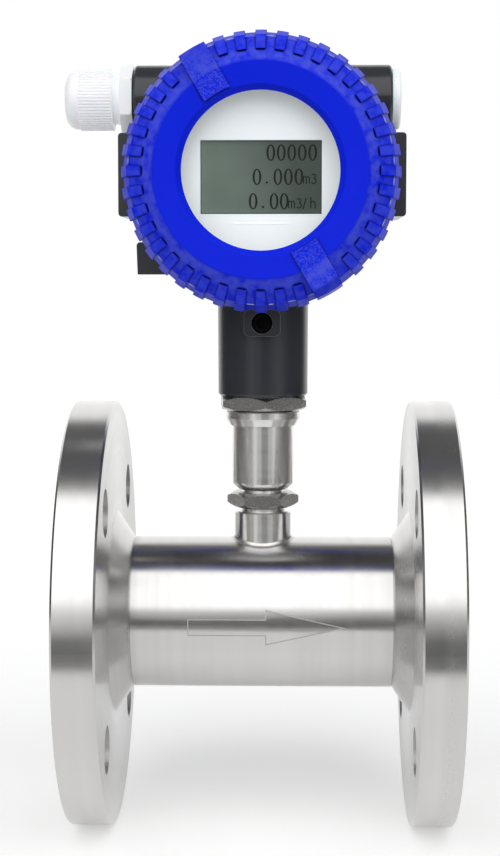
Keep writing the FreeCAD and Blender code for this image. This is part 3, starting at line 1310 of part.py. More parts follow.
NODES["window_gasket"] = window_stack(WINDOW_R + SEAT_GAP, GLASS_R, GLASS_FRONT, WINDOW_SEAT)
NODES["window_glass"] = window_stack(0, GLASS_R, GLASS_BACK, GLASS_FRONT)
NODES["front_cover_o_ring"] = cover_o_ring(FRONT_Y, Y_AXIS * -1)
NODES["rear_cover_o_ring"] = cover_o_ring(BACK_Y, Y_AXIS)
NODES["lcd_panel"] = display_block(LCD_BORDER, LCD_Y, BACKLIGHT_Y)
NODES["lcd_backlight"] = display_block(LCD_BORDER / 2, BACKLIGHT_Y, BOARD_Y)

for name, shape in NODES.items():
    shape.exportStep("parts/" + name + ".step")
    sound = all(solid.isValid() for solid in shape.Solids)
    print(name, len(shape.Solids), round(shape.Volume, 1), "valid" if sound else "INVALID")
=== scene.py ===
"""Looks of the liquid turbine flow meter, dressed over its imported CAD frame, in metres."""
import logging
import math
from dataclasses import dataclass, field
from enum import Enum
from typing import Callable, Iterable, Sequence

import bmesh
import bpy
from bmesh.types import BMesh
from bpy.types import Material, Mesh, Node, NodeSocket, NodeTree, Object
from mathutils import Matrix, Vector


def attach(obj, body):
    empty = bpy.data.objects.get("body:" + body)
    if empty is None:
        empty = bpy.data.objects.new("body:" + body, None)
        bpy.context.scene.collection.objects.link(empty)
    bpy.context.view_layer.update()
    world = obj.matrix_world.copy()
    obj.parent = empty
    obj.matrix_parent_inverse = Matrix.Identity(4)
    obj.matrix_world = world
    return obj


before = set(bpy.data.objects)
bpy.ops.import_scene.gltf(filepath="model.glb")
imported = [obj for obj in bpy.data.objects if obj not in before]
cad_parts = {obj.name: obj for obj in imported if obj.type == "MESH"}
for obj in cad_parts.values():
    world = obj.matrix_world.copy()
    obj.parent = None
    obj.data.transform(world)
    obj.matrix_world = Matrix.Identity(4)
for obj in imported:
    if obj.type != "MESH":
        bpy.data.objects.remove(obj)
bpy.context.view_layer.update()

MM = 0.001
THREAD_STEPS = 48
WELD_STEPS = 180
SEAM_STEPS = 240
DROP_LEAST = (1.0, 0.65, 0.7)
DROP_MOST = (1.35, 0.8, 1.0)
MARK_LEAST = 0.45
SEAM_BARE = 0.4
DROP_SEED = 7
BARE_SEED = 3
MARK_SEED = 11
LOG = logging.getLogger("flow_meter")
Point2 = tuple[float, float]
Place = Callable[[float, float, float], Vector]


class Body(str, Enum):
    """The bodies that the scene's own pieces ride on."""

    METER = "meter_body"
    FRONT_COVER = "front_cover"


class Slot(str, Enum):
    """Material slot names of the record; nothing here gives a piece one."""

    STEEL = "turned_stainless"
    COVER = "blue_cover_paint"
    NYLON = "white_nylon"
    BEZEL = "white_bezel"
    LCD = "display_glass"


class Axis(Enum):
    """The axis a piece was turned about in the lathe, as the share of each direction across it."""

    X = (0.0, 1.0, 1.0)
    Z = (1.0, 1.0, 0.0)

    def along(self) -> tuple[float, float, float]:
        """Gives the direction of the axis itself."""
        return tuple(1.0 - share for share in self.value)


def linear(code: str) -> tuple[float, float, float, float]:
    """Turns an sRGB hex colour into a linear one.

    Args:
        code: the colour as six hex digits after a hash sign.

    Returns:
        Red, green and blue in linear light, and an alpha of 1.
    """
    parts = [int(code[i:i + 2], 16) / 255 for i in (1, 3, 5)]
    bright = [p / 12.92 if p <= 0.04045 else ((p + 0.055) / 1.055) ** 2.4 for p in parts]
    return bright[0], bright[1], bright[2], 1.0


def per_metre(size_mm: float) -> float:
    """Turns a pattern's size in millimetres into a texture's scale."""
    return 1 / (size_mm * MM)


def feed(node: Node, inputs: dict) -> None:
    """Sets or links a node's inputs.

    Args:
        node: the node.
        inputs: for each socket's name or place, a value, an output, or a node whose first live
            output feeds it.
    """
    for key, value in inputs.items():
        if isinstance(value, Node):
            value = next(output for output in value.outputs if output.enabled)
        if isinstance(value, NodeSocket):
            node.id_data.links.new(value, node.inputs[key])
        else:
            node.inputs[key].default_value = value


def add_node(tree: NodeTree, kind: str, inputs: dict | None = None, **settings) -> Node:
    """Adds a node with its settings and links.

    Args:
        tree: the node tree that gets the node.
        kind: its type name, which for a shader node goes without ShaderNode.
        inputs: what sets or feeds its inputs.
        settings: the node's own settings by name.

    Returns:
        The new node.
    """
    general = kind.startswith(("Geometry", "Function", "NodeGroup"))
    made = tree.nodes.new(kind if general else "ShaderNode" + kind)
    for name, value in settings.items():
        setattr(made, name, value)
    feed(made, inputs or {})
    return made


@dataclass(frozen=True)
class Skin:
    """A material in the making: its tree, its Principled shader and the centred coordinates."""

    tree: NodeTree
    shader: Node
    place: Node


@dataclass(frozen=True)
class Finish:
    """A real material and how its surface was made, with one soft variation of tone."""

    name: str
    base: str
    shade: str
    roughness: float
    metallic: float = 0.0
    ior: float = 1.5
    grain_mm: float = 0.5
    relief_mm: float = 0.01
    blotch_mm: float = 12.0
    swing: float = 0.18
    centre_mm: tuple[float, float, float] = (0.0, 0.0, 0.0)
    extra: dict = field(default_factory=dict)

    def build(self) -> Material:
        """Makes the material, or returns the one already made under this name.

        Returns:
            The finished Blender material.
        """
        known = bpy.data.materials.get(self.name)
        if known:
            return known
        material = bpy.data.materials.new(self.name)
        material.use_nodes = True
        tree = material.node_tree
        tree.nodes.clear()
        add_node(tree, "OutputMaterial", {"Surface": self.fill(tree)})
        return material

    def fill(self, tree: NodeTree) -> Node:
        """Makes the material's nodes.

        Args:
            tree: the material's node tree.

        Returns:
            The shader that shows.
        """
        coords = add_node(tree, "TexCoord").outputs["Object"]
        place = add_node(tree, "Mapping", {
            "Vector": coords, "Location": tuple(-c * MM for c in self.centre_mm)})
        shader = add_node(tree, "BsdfPrincipled", {
            "Metallic": self.metallic, "IOR": self.ior, "Roughness": self.roughness, **self.extra})
        self.surface(Skin(tree, shader, place))
        return shader

    def surface(self, skin: Skin) -> None:
        """Colours and roughens the surface with slow blotches and a fine grain.

        Args:
            skin: the material in the making.
        """
        blotch = add_node(skin.tree, "TexNoise", {
            "Vector": skin.place, "Scale": per_metre(self.blotch_mm), "Detail": 2.0})
        grain = add_node(skin.tree, "TexNoise", {
            "Vector": skin.place, "Scale": per_metre(self.grain_mm), "Detail": 3.0})
        self.colour(skin, blotch)
        self.roughen(skin, grain)
        self.emboss(skin, grain)

    def colour(self, skin: Skin, share: Node | NodeSocket) -> None:
        """Shades the surface from its base colour to its second one.

        Args:
            skin: the material in the making.
            share: how much of the second colour shows.
        """
        tone = add_node(skin.tree, "Mix", {
            "Factor": share, "A": linear(self.base), "B": linear(self.shade)}, data_type="RGBA")
        feed(skin.shader, {"Base Color": tone})

    def roughen(self, skin: Skin, pattern: Node | NodeSocket) -> None:
        """Varies the roughness with a pattern, by the share that swing gives each way.

        Args:
            skin: the material in the making.
            pattern: a value from 0 to 1.
        """
        spread = add_node(skin.tree, "MapRange", {
            "Value": pattern, "From Min": 0.25, "From Max": 0.75,
            "To Min": self.roughness * (1 - self.swing), "To Max": self.roughness * (1 + self.swing)})
        feed(skin.shader, {"Roughness": spread})

    def emboss(self, skin: Skin, pattern: Node | NodeSocket) -> None:
        """Adds the fine relief of the surface as bump.

        Args:
            skin: the material in the making.
            pattern: the height from 0 to 1.
        """
        bump = add_node(skin.tree, "Bump", {
            "Height": pattern, "Distance": self.relief_mm * MM, "Strength": 1.0})
        feed(skin.shader, {"Normal": bump})


@dataclass(frozen=True)
class TurnedSteel(Finish):
    """Stainless steel from the lathe: fine rings about its axis, crisp across and streaked along."""

    axis: Axis = Axis.X
    line_mm: float = 0.35
    stretch: float = 0.75
    evenness: float = 0.75

    def stretch_light(self, skin: Skin) -> None:
        """Stretches reflections square to the tool's rings.

        Args:
            skin: the material in the making.
        """
        tree = skin.tree
        ring = add_node(tree, "VectorMath", {0: self.axis.along(), 1: skin.place},
                        operation="CROSS_PRODUCT")
        turned = add_node(tree, "VectorTransform", {0: ring},
                          vector_type="VECTOR", convert_from="OBJECT", convert_to="WORLD")
        facing = add_node(tree, "NewGeometry").outputs["Normal"]
        across = add_node(tree, "VectorMath", {0: facing, 1: turned}, operation="CROSS_PRODUCT")
        along = add_node(tree, "VectorMath", {0: across}, operation="NORMALIZE")
        feed(skin.shader, {"Tangent": along, "Anisotropic": self.stretch})

    def surface(self, skin: Skin) -> None:
        """Draws the tool's rings from the height along the axis and the radius about it.

        Args:
            skin: the material in the making.
        """
        tree, place = skin.tree, skin.place
        across = add_node(tree, "VectorMath", {0: place, 1: self.axis.value}, operation="MULTIPLY")
        radius = add_node(tree, "VectorMath", {0: across}, operation="LENGTH")
        along = add_node(tree, "VectorMath", {0: place, 1: across}, operation="SUBTRACT")
        height = add_node(tree, "VectorMath", {0: along, 1: self.axis.along()},
                          operation="DOT_PRODUCT")
        rings = add_node(tree, "CombineXYZ", {"X": height, "Y": radius})
        fine, broad, smudge = (
            add_node(tree, "TexNoise", {"Vector": where, "Scale": per_metre(size), "Detail": detail})
            for where, size, detail in (
                (rings, self.line_mm, 2.0), (rings, self.blotch_mm, 3.0), (place, self.blotch_mm, 4.0)))
        wiped = add_node(tree, "Mix", {"Factor": self.evenness, "A": smudge, "B": broad},
                         data_type="FLOAT")
        self.colour(skin, broad)
        self.roughen(skin, wiped)
        self.emboss(skin, fine)
        self.stretch_light(skin)


@dataclass(frozen=True)
class DrilledSteel(TurnedSteel):
    """A turned flange whose bolt holes keep the drill's rough, scattering wall."""

    hole_centre_mm: float = 44.19
    hole_radius_mm: float = 9.15
    hole_roughness: float = 0.6

    def roughen(self, skin: Skin, pattern: Node | NodeSocket) -> None:
        """Roughens the bolt holes, which lie evenly about the pipe's axis.

        Args:
            skin: the material in the making.
            pattern: a value from 0 to 1.
        """
        super().roughen(skin, pattern)
        tree = skin.tree
        rest = skin.shader.inputs["Roughness"].links[0].from_socket
        coords = add_node(tree, "TexCoord").outputs["Object"]
        folded = add_node(tree, "VectorMath", {0: coords}, operation="ABSOLUTE")
        flat = add_node(tree, "VectorMath", {0: folded, 1: self.axis.value}, operation="MULTIPLY")
        centre = tuple(share * self.hole_centre_mm * MM for share in self.axis.value)
        away = add_node(tree, "VectorMath", {0: flat, 1: centre}, operation="DISTANCE")
        inside = add_node(tree, "Math", {0: away, 1: self.hole_radius_mm * MM},
                          operation="LESS_THAN")
        mixed = add_node(tree, "Mix", {"Factor": inside, "A": rest, "B": self.hole_roughness},
                         data_type="FLOAT")
        feed(skin.shader, {"Roughness": mixed})


@dataclass(frozen=True)
class CoatedCasting(Finish):
    """Powder coat on a casting, paler over its edges: a painted edge highlight, with the coat wearing away
    there too.
    """

    # pale edge colour: painted highlight with coat wear
    edge: str = "#8C8E96"
    edge_mm: float = 0.35
    flat_cosine: float = 0.985
    sharp_cosine: float = 0.8

    def surface(self, skin: Skin) -> None:
        """Paints the edges pale where the surface turns within a short way, as a highlight and as coat wear.

        Args:
            skin: the material in the making.
        """
        super().surface(skin)
        tree = skin.tree
        tone = skin.shader.inputs["Base Color"].links[0].from_socket
        facing = add_node(tree, "NewGeometry").outputs["Normal"]
        rounded = add_node(tree, "Bevel", {"Radius": self.edge_mm * MM}, samples=6)
        same = add_node(tree, "VectorMath", {0: facing, 1: rounded}, operation="DOT_PRODUCT")
        edge_sheen_and_wear = add_node(tree, "MapRange", {
            "Value": same, "From Min": self.flat_cosine, "From Max": self.sharp_cosine})
        mixed = add_node(tree, "Mix", {"Factor": edge_sheen_and_wear, "A": tone, "B": linear(self.edge)},
                         data_type="RGBA")
        feed(skin.shader, {"Base Color": mixed})


@dataclass(frozen=True)
class CloudedCell(Finish):
    """A liquid crystal cell, paler towards one side and softly clouded."""

    pale_mm: float = -24.0
    deep_mm: float = 14.0
    drift_mm: float = 22.0

    def surface(self, skin: Skin) -> None:
        """Shades the cell across its width, with clouds that bend the shading.

        Args:
            skin: the material in the making.
        """
        across = add_node(skin.tree, "SeparateXYZ", {0: skin.place}).outputs["X"]
        cloud = add_node(skin.tree, "TexNoise", {
            "Vector": skin.place, "Scale": per_metre(self.blotch_mm), "Detail": 3.0})
        bent = add_node(skin.tree, "Math", {0: cloud, 1: self.drift_mm * MM, 2: across},
                        operation="MULTIPLY_ADD")
        share = add_node(skin.tree, "MapRange", {
            "Value": bent, "From Min": (self.pale_mm + self.drift_mm / 2) * MM,
            "From Max": (self.deep_mm + self.drift_mm / 2) * MM})
        self.colour(skin, share)
        self.roughen(skin, cloud)


@dataclass(frozen=True)
class CastEnamel(Finish):
    """Enamel on a die casting: painted shade in the recesses, pale edges that are a painted highlight with
    wear, a pale girdle of painted sheen with wear, grainy on raised pads.
    """

    # painted shade: dark blue laid where the recesses between the teeth are shaded
    painted_hollow_shade: str = "#00107A"
    # pale girdle round the flat: painted sheen of the sloped shoulder, with wear of the enamel
    girdle_sheen_and_rub: str = "#4350DE"
    # grain of the raised pads, also the pale edges: painted highlight with wear
    grain: str = "#4A57DE"
    flat_mm: float = 38.5
    flat_rise_mm: float = 1.2
    girdle_mm: tuple[float, float] = (44.0, 42.2)
    pad_mm: float = 53.25
    pad_rise_mm: float = 0.1
    patch_mm: float = 3.2
    hollow_mm: float = 1.3
    edge_mm: float = 0.5
    round_mm: float = 0.35

    def masks(self, skin: Skin, patches: Node, speckle: Node) -> dict[str, Node]:
        """Finds where the casting is flat, toothed, in painted shade, pale on its edges or raised.

        Args:
            skin: the material in the making.
            patches: the pattern of the worn patches.
            speckle: the pattern of the cast grain.

        Returns:
            For each mask's name, the node that rises from 0 to 1 there.
        """
        tree = skin.tree
        apart = add_node(tree, "SeparateXYZ", {0: skin.place})
        disc = add_node(tree, "CombineXYZ", {"X": apart.outputs["X"], "Z": apart.outputs["Z"]})
        radius = add_node(tree, "VectorMath", {0: disc}, operation="LENGTH")
        reach = add_node(tree, "Math", {0: apart.outputs["Y"]}, operation="ABSOLUTE")
        open_sky = add_node(tree, "AmbientOcclusion", {"Distance": self.hollow_mm * MM}, samples=8)
        edge = add_node(tree, "AmbientOcclusion", {"Distance": self.edge_mm * MM}, samples=8,
                        inside=True)
        return {name: add_node(tree, "MapRange", {"Value": value, "From Min": low, "From Max": high})
                for name, value, low, high in (
                    ("patchy", patches, 0.3, 0.62),
                    ("grainy", speckle, 0.42, 0.66),
                    ("outside", radius, self.flat_mm * MM, (self.flat_mm + self.flat_rise_mm) * MM),
                    ("inside", radius, self.girdle_mm[0] * MM, self.girdle_mm[1] * MM),
                    # pale edges: painted highlight with wear
                    ("edge_highlight_and_wear", edge.outputs["AO"], 0.6, 0.95),
                    # recesses: painted shade
                    ("painted_shade", open_sky.outputs["AO"], 0.78, 0.5),
                    ("raised", reach, self.pad_mm * MM, (self.pad_mm + self.pad_rise_mm) * MM))}

    def surface(self, skin: Skin) -> None:
        """Lays the pale girdle (painted sheen with wear), the pale edges (painted highlight with wear), the
        painted shade in the recesses and the sandy pads in turn.

        Args:
            skin: the material in the making.
        """
        tree = skin.tree
        blotch, speckle, patches = (
            add_node(tree, "TexNoise", {
                "Vector": skin.place, "Scale": per_metre(size), "Detail": detail})
            for size, detail in ((self.blotch_mm, 3.0), (self.grain_mm, 3.0), (self.patch_mm, 4.0)))
        masks = self.masks(skin, patches, speckle)
        self.colour(skin, blotch)
        tone: Node | NodeSocket = skin.shader.inputs["Base Color"].links[0].from_socket
        # painted sheen on the girdle, painted highlight on the edges, painted shade in the recesses, grain
        # on the pads
        for colour, amount, names in ((self.girdle_sheen_and_rub, 0.75, ("outside", "inside", "patchy")),
                                      (self.grain, 0.5, ("edge_highlight_and_wear", "outside", "patchy")),
                                      (self.painted_hollow_shade, 1.0, ("painted_shade",)),
                                      (self.grain, 0.75, ("raised", "grainy"))):
            share: Node | float = amount
            for name in names:
                share = add_node(tree, "Math", {0: share, 1: masks[name]}, operation="MULTIPLY")
            tone = add_node(tree, "Mix", {"Factor": share, "A": tone, "B": linear(colour)},
                            data_type="RGBA")
        feed(skin.shader, {"Base Color": tone})
        self.roughen(skin, blotch)
        rounded = add_node(tree, "Bevel", {"Radius": self.round_mm * MM}, samples=4)
        self.emboss(skin, speckle)
        feed(skin.shader.inputs["Normal"].links[0].from_node, {"Normal": rounded})


@dataclass(frozen=True)
class WoundWire(Finish):
    """Enamelled wire laid in turns: round ridges along the winding's axis."""

    wire_mm: float = 0.4
    wave_span: float = 0.314

    def surface(self, skin: Skin) -> None:
        """Draws the turns as bands along Z.

        Args:
            skin: the material in the making.
        """
        turns = add_node(skin.tree, "TexWave", {
            "Vector": skin.place, "Scale": self.wave_span * per_metre(self.wire_mm), "Distortion": 0.3},
            bands_direction="Z").outputs["Fac"]
        self.colour(skin, turns)
        self.roughen(skin, turns)
        self.emboss(skin, turns)


@dataclass(frozen=True)
class SheetGlass(Finish):
    """Thin float glass: clear, with only its outer skin mirroring a little of the room."""

    def fill(self, tree: NodeTree) -> Node:
        """Lays a faint mirror over a clear sheet, and lets shadow rays through.

        Args:
            tree: the material's node tree.

        Returns:
            The shader that shows.
        """
        path = add_node(tree, "LightPath")
        clear = add_node(tree, "BsdfTransparent")
        mirror = add_node(tree, "BsdfGlossy", {"Roughness": self.roughness})
        tilt = add_node(tree, "Fresnel", {"IOR": self.ior})
        inner = add_node(tree, "NewGeometry").outputs["Backfacing"]
        hidden = add_node(tree, "Math", {0: path.outputs["Is Shadow Ray"], 1: inner},
                          operation="MAXIMUM")
        seen = add_node(tree, "Math", {0: 1.0, 1: hidden}, operation="SUBTRACT")
        share = add_node(tree, "Math", {0: tilt, 1: seen}, operation="MULTIPLY")
        return add_node(tree, "MixShader", {0: share, 1: clear, 2: mirror})


class Finishes:
    """Every finish on the meter, named for the material and the process."""

    # Turned 304 stainless: rings about the bore that smear reflections along the pipe
    RUN = TurnedSteel("turned_stainless_run", "#D6D5D4", "#CAC9C7", 0.25, metallic=1.0,
                      relief_mm=0.007, line_mm=0.5, axis=Axis.X, centre_mm=(75, 0, 0), blotch_mm=6)
    # The flanges, turned with the run, then drilled
    FLANGE = DrilledSteel("turned_stainless_flange", "#D6D5D4", "#CAC9C7", 0.25, metallic=1.0,
                          relief_mm=0.007, line_mm=0.5, axis=Axis.X, centre_mm=(75, 0, 0), blotch_mm=6)
    # The same steel turned about the stem: level rings on the boss and the barrel
    STEM = TurnedSteel("turned_stainless_stem", "#E9E8E8", "#DCDBDA", 0.21, metallic=1.0,
                       relief_mm=0.0015, axis=Axis.Z, centre_mm=(75, 0, 0), blotch_mm=3, stretch=0.85,
                       evenness=1.0)
    # Cold-drawn hexagon stainless: greyer flats with a faint draw grain
    NUT = Finish("drawn_stainless_hex", "#C8C6C4", "#A9A7A4", 0.25, metallic=1.0,
                 grain_mm=0.5, relief_mm=0.01, blotch_mm=2)
    # Fused stainless filler: bright and rippled
    WELD = Finish("welded_stainless_bead", "#E2E0DC", "#B5B1AB", 0.32, metallic=1.0,
                  grain_mm=0.8, relief_mm=0.05, blotch_mm=2)
    # Electro-etched stainless: frosted, so it scatters light in any reflection
    ETCH = Finish("etched_stainless_mark", "#C9C8C6", "#B4B3B1", 0.62, metallic=1.0,
                  grain_mm=0.3, relief_mm=0.01)
    # Hardened tool steel with a black oxide skin
    TOOL = Finish("blackened_tool_steel", "#1E1C1C", "#121010", 0.38, metallic=1.0,
                  grain_mm=0.3, relief_mm=0.006, blotch_mm=3)
    # Tungsten carbide ground for bearings: dark, hard and smooth
    CARBIDE = Finish("ground_carbide", "#6D6F73", "#5A5C60", 0.2, metallic=1.0,
                     grain_mm=0.2, relief_mm=0.002)
    # Die-cast aluminium under dark grey powder coat: satin with orange peel
    HOUSING = CoatedCasting("grey_powder_coat", "#36373E", "#303137", 0.22,
                            grain_mm=1.6, relief_mm=0.002, blotch_mm=25)
    # Die-cast aluminium under blue enamel: saturated, with the cast grain showing through, painted shade in
    # the recesses and painted highlights on the edges and the girdle
    COVER = CastEnamel("blue_enamel_on_casting", "#0223E6", "#0120DC", 0.42, grain_mm=0.5,
                       relief_mm=0.015, blotch_mm=18, centre_mm=(75, 0, 168.7),
                       extra={"Specular IOR Level": 0.12})
    # Painted highlight along the front cover's seam: pale blue-white arcs
    SEAM_HIGHLIGHT = Finish("painted_seam_highlight", "#B9C4DE", "#7F8FE0", 0.5, grain_mm=0.5, relief_mm=0.02,
                    blotch_mm=2)
    # Natural polyamide moulding: milky and soft-edged, with a faint painted glow in place of light from all
    # sides
    NYLON = Finish("moulded_white_nylon", "#F3F5F8", "#EEF0F4", 0.36, grain_mm=0.4, relief_mm=0.004,
                   extra={"Subsurface Weight": 0.3, "Subsurface Scale": 0.003,
                          "Emission Color": (0.96, 0.98, 1.0, 1.0), "Emission Strength": 0.15})
    # Matt ABS moulding round the display: even, with spark-eroded texture and a painted glow that lightens
    # it
    BEZEL = Finish("moulded_white_abs", "#F6FBFC", "#F1F7F9", 0.5, grain_mm=0.25, relief_mm=0.006,
                   extra={"Emission Color": (0.93, 1.0, 1.0, 1.0), "Emission Strength": 0.2})
    # Moulded nitrile rubber: dull black with a bloom
    RUBBER = Finish("moulded_nitrile_rubber", "#1B1B1C", "#242424", 0.62, grain_mm=0.3, relief_mm=0.01)
    # Tempered float glass
    GLASS = SheetGlass("tempered_float_glass", "#FFFFFF", "#FDFEFE", 0.02, ior=1.3)
    # Reflective liquid crystal cell: grey-green, paler towards one side and softly clouded
    LCD = CloudedCell("reflective_lcd_cell", "#7A8B7F", "#4E5852", 0.4, blotch_mm=16,
                      centre_mm=(75, 0, 166.8), extra={"Specular IOR Level": 0.2})
    # Switched segments of the cell
    SEGMENT = Finish("lcd_segment", "#141A18", "#1A201E", 0.4, grain_mm=0.3, relief_mm=0.001,
                     extra={"Specular IOR Level": 0.2})
    # Glass fibre laminate under green solder mask
    BOARD = Finish("green_solder_mask", "#1E5A38", "#184C30", 0.3, grain_mm=0.6, relief_mm=0.01,
                   blotch_mm=4)
    # Nickel plated brass: bright and slightly warm
    BRASS = Finish("nickel_plated_brass", "#CFC6B2", "#BDB39D", 0.24, metallic=1.0,
                   grain_mm=0.3, relief_mm=0.004, blotch_mm=3)
    # Enamelled copper wire, wound in layers
    COPPER = WoundWire("enamelled_copper_wire", "#6E3315", "#B5602E", 0.3, metallic=1.0,
                       relief_mm=0.12)
    # Black glass-filled nylon and potting resin
    BLACK = Finish("moulded_black_nylon", "#18191B", "#202124", 0.45, grain_mm=0.4, relief_mm=0.008)
    # Magnet alloy with a plated skin
    ALLOY = Finish("plated_magnet_alloy", "#9B9C9E", "#85868A", 0.3, metallic=1.0,
                   grain_mm=0.4, relief_mm=0.004)


def make_object(name: str, mesh: Mesh, finish: Finish, body: Body) -> Object:
    """Puts a finished mesh in the scene as a piece that rides on a body.

    Args:
        name: the piece's name.
        mesh: its mesh, in place.
        finish: what it is made of.
        body: the body it moves with.

    Returns:
        The new object, at the origin.
    """
    mesh.name = name
    mesh.materials.clear()
    mesh.materials.append(finish.build())
    made = bpy.data.objects.new(name, mesh)
    bpy.context.scene.collection.objects.link(made)
    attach(made, body.value)
    LOG.info("piece %s: %d faces on %s", name, len(mesh.polygons), body.value)
    return made


def close_mesh(name: str, shape: BMesh, smooth_deg: float = 30.0) -> Mesh:
    """Turns a bmesh into a mesh with outward faces and crisp edges.

    Args:
        name: the mesh's name.
        shape: the bmesh, which is freed.
        smooth_deg: the angle up to which neighbouring faces shade as one.

    Returns:
        The new mesh.
    """
    bmesh.ops.remove_doubles(shape, verts=shape.verts, dist=1e-7)
    bmesh.ops.recalc_face_normals(shape, faces=shape.faces)
    mesh = bpy.data.meshes.new(name)
    shape.to_mesh(mesh)
    shape.free()
    mesh.shade_smooth()
    mesh.set_sharp_from_angle(angle=math.radians(smooth_deg))
    return mesh


def flat_on(left: float, front: float, foot: float) -> Place:
    """Gives a plane that faces the reader.

    Args:
        left: where the plane's own across starts in the frame.
        front: the plane's place in depth.
        foot: where its own height starts.

    Returns:
        What turns (across, up, out) on the plane into a point of the frame.
    """
    def place(u: float, v: float, out: float) -> Vector:
        """Places one point."""
        return Vector((left + u, front - out, foot + v)) * MM

    return place


def add_bar(shape: BMesh, rings: Sequence[Sequence[tuple[float, float, float]]], closed: bool,
            place: Place) -> None:
    """Adds a bar of four-cornered sections, closed in a ring or capped at its ends.

    Args:
        shape: the bmesh that gets the bar.
        rings: the sections, each as four points (across, up, out).
        closed: whether the last section joins the first.
        place: turns (across, up, out) into a point of the frame.
    """
    made = [[shape.verts.new(place(*point)) for point in ring] for ring in rings]
    for low, high in zip(made, made[1:] + made[:1] if closed else made[1:]):
        for row in range(4):
            after = (row + 1) % 4
            shape.faces.new((low[row], low[after], high[after], high[row]))
    if not closed:
        shape.faces.new(made[0])
        shape.faces.new(tuple(reversed(made[-1])))


def add_band(shape: BMesh, outer: Sequence[Point2], inner: Sequence[Point2], depth: float,
             place: Place) -> None:
    """Adds a closed flat ring between two loops of equal length.

    Args:
        shape: the bmesh that gets the ring.
        outer: the outer loop in the plane.
        inner: the inner loop, point for point.
        depth: the ring's thickness.
        place: turns (across, up, out) into a point of the frame.
    """
    add_bar(shape, [((*far, depth), (*near, depth), (*near, 0.0), (*far, 0.0))
                    for far, near in zip(outer, inner)], True, place)


def add_stroke(shape: BMesh, path: Sequence[Point2], width: float, depth: float, place: Place) -> None:
    """Adds one pen stroke of even width with square ends.

    Args:
        shape: the bmesh that gets the stroke.
        path: the stroke's middle line.
        width: the stroke's width.
        depth: its thickness.
        place: turns (across, up, out) into a point of the frame.
    """
    rings = []
    for index, (u, v) in enumerate(path):
        before = path[max(index - 1, 0)]
        after = path[min(index + 1, len(path) - 1)]
        run = math.hypot(after[0] - before[0], after[1] - before[1])
        across = (before[1] - after[1]) / run * width / 2
        up = (after[0] - before[0]) / run * width / 2
        rings.append([(u + across * sign, v + up * sign, out)
                      for sign, out in ((1, depth), (-1, depth), (-1, 0.0), (1, 0.0))])
    add_bar(shape, rings, False, place)


def ellipse(centre: Point2, half: Point2, count: int) -> list[Point2]:
    """Gives evenly spaced points round an ellipse.

    Args:
        centre: its middle.
        half: its half width and half height.
        count: the number of points.

    Returns:
        The points, anticlockwise.
    """
    steps = [2 * math.pi * i / count for i in range(count)]
    return [(centre[0] + half[0] * math.cos(a), centre[1] + half[1] * math.sin(a)) for a in steps]


def divided(corners: Sequence[Point2], parts: int) -> list[Point2]:
    """Splits each side of a closed polygon into equal parts.

    Args:
        corners: the polygon's corners.
        parts: the number of parts on each side.

    Returns:
        The corners and the points between them.
    """
    result = []
    for here, after in zip(corners, [*corners[1:], corners[0]]):
        for step in range(parts):
            share = step / parts
            result.append((here[0] + (after[0] - here[0]) * share, here[1] + (after[1] - here[1]) * share))
    return result


class Grower:
    """A Geometry Nodes tree with named inputs that grows a repeated piece into a plain mesh."""

    def __init__(self, name: str, numbers: Iterable[str]) -> None:
        """Starts the tree with its inputs.

        Args:
            name: the tree's name.
            numbers: the names of its number inputs.
        """
        self.tree = bpy.data.node_groups.new(name, "GeometryNodeTree")
        face = self.tree.interface
        face.new_socket(name="Geometry", in_out="OUTPUT", socket_type="NodeSocketGeometry")
        face.new_socket(name="Geometry", in_out="INPUT", socket_type="NodeSocketGeometry")
        self.sockets = {n: face.new_socket(name=n, in_out="INPUT", socket_type="NodeSocketFloat").identifier
                        for n in numbers}
        self.finish_id = face.new_socket(name="Finish", in_out="INPUT",
                                         socket_type="NodeSocketMaterial").identifier
        self.given = add_node(self.tree, "NodeGroupInput").outputs

    def end(self, geometry: Node) -> None:
        """Ends the tree: real geometry with its material.

        Args:
            geometry: what the tree has grown.
        """
        real = add_node(self.tree, "GeometryNodeRealizeInstances", {"Geometry": geometry})
        dressed = add_node(self.tree, "GeometryNodeSetMaterial", {
            "Geometry": real, "Material": self.given["Finish"]})
        add_node(self.tree, "NodeGroupOutput", {0: dressed})

    def grow(self, name: str, finish: Finish, **values: float) -> Mesh:
        """Grows one mesh with the given sizes.

        Args:
            name: the mesh's name.
            finish: what it is made of.
            values: a value for each number input.

        Returns:
            The plain mesh.
        """
        seed = bpy.data.objects.new(name + "_seed", bpy.data.meshes.new(name + "_seed"))
        bpy.context.scene.collection.objects.link(seed)
        modifier = seed.modifiers.new("grow", "NODES")
        modifier.node_group = self.tree
        for key, value in values.items():
            modifier[self.sockets[key]] = float(value)
        modifier[self.finish_id] = finish.build()
        ready = seed.evaluated_get(bpy.context.evaluated_depsgraph_get())
        mesh = bpy.data.meshes.new_from_object(ready)
        seed.modifiers.remove(modifier)
        bpy.data.objects.remove(seed)
        return mesh


def thread_grower() -> Grower:
    """Makes the tree of a screw thread: a ridge that climbs in a spiral.

    Returns:
        The grower, with the inputs Radius, Pitch, Turns and Depth.
    """
    made = Grower("screw_thread", ("Radius", "Pitch", "Turns", "Depth"))
    tree, given = made.tree, made.given
    height = add_node(tree, "Math", {0: given["Pitch"], 1: given["Turns"]}, operation="MULTIPLY")
    spiral = add_node(tree, "GeometryNodeCurveSpiral", {
        "Resolution": THREAD_STEPS, "Rotations": given["Turns"], "Start Radius": given["Radius"],
        "End Radius": given["Radius"], "Height": height})
    upright = add_node(tree, "GeometryNodeSetCurveNormal", {"Curve": spiral}, mode="Z_UP")
    crest = add_node(tree, "GeometryNodeCurvePrimitiveCircle", {"Resolution": 4, "Radius": given["Depth"]})
    made.end(add_node(tree, "GeometryNodeCurveToMesh", {
        "Curve": upright, "Profile Curve": crest, "Fill Caps": True}))
    return made


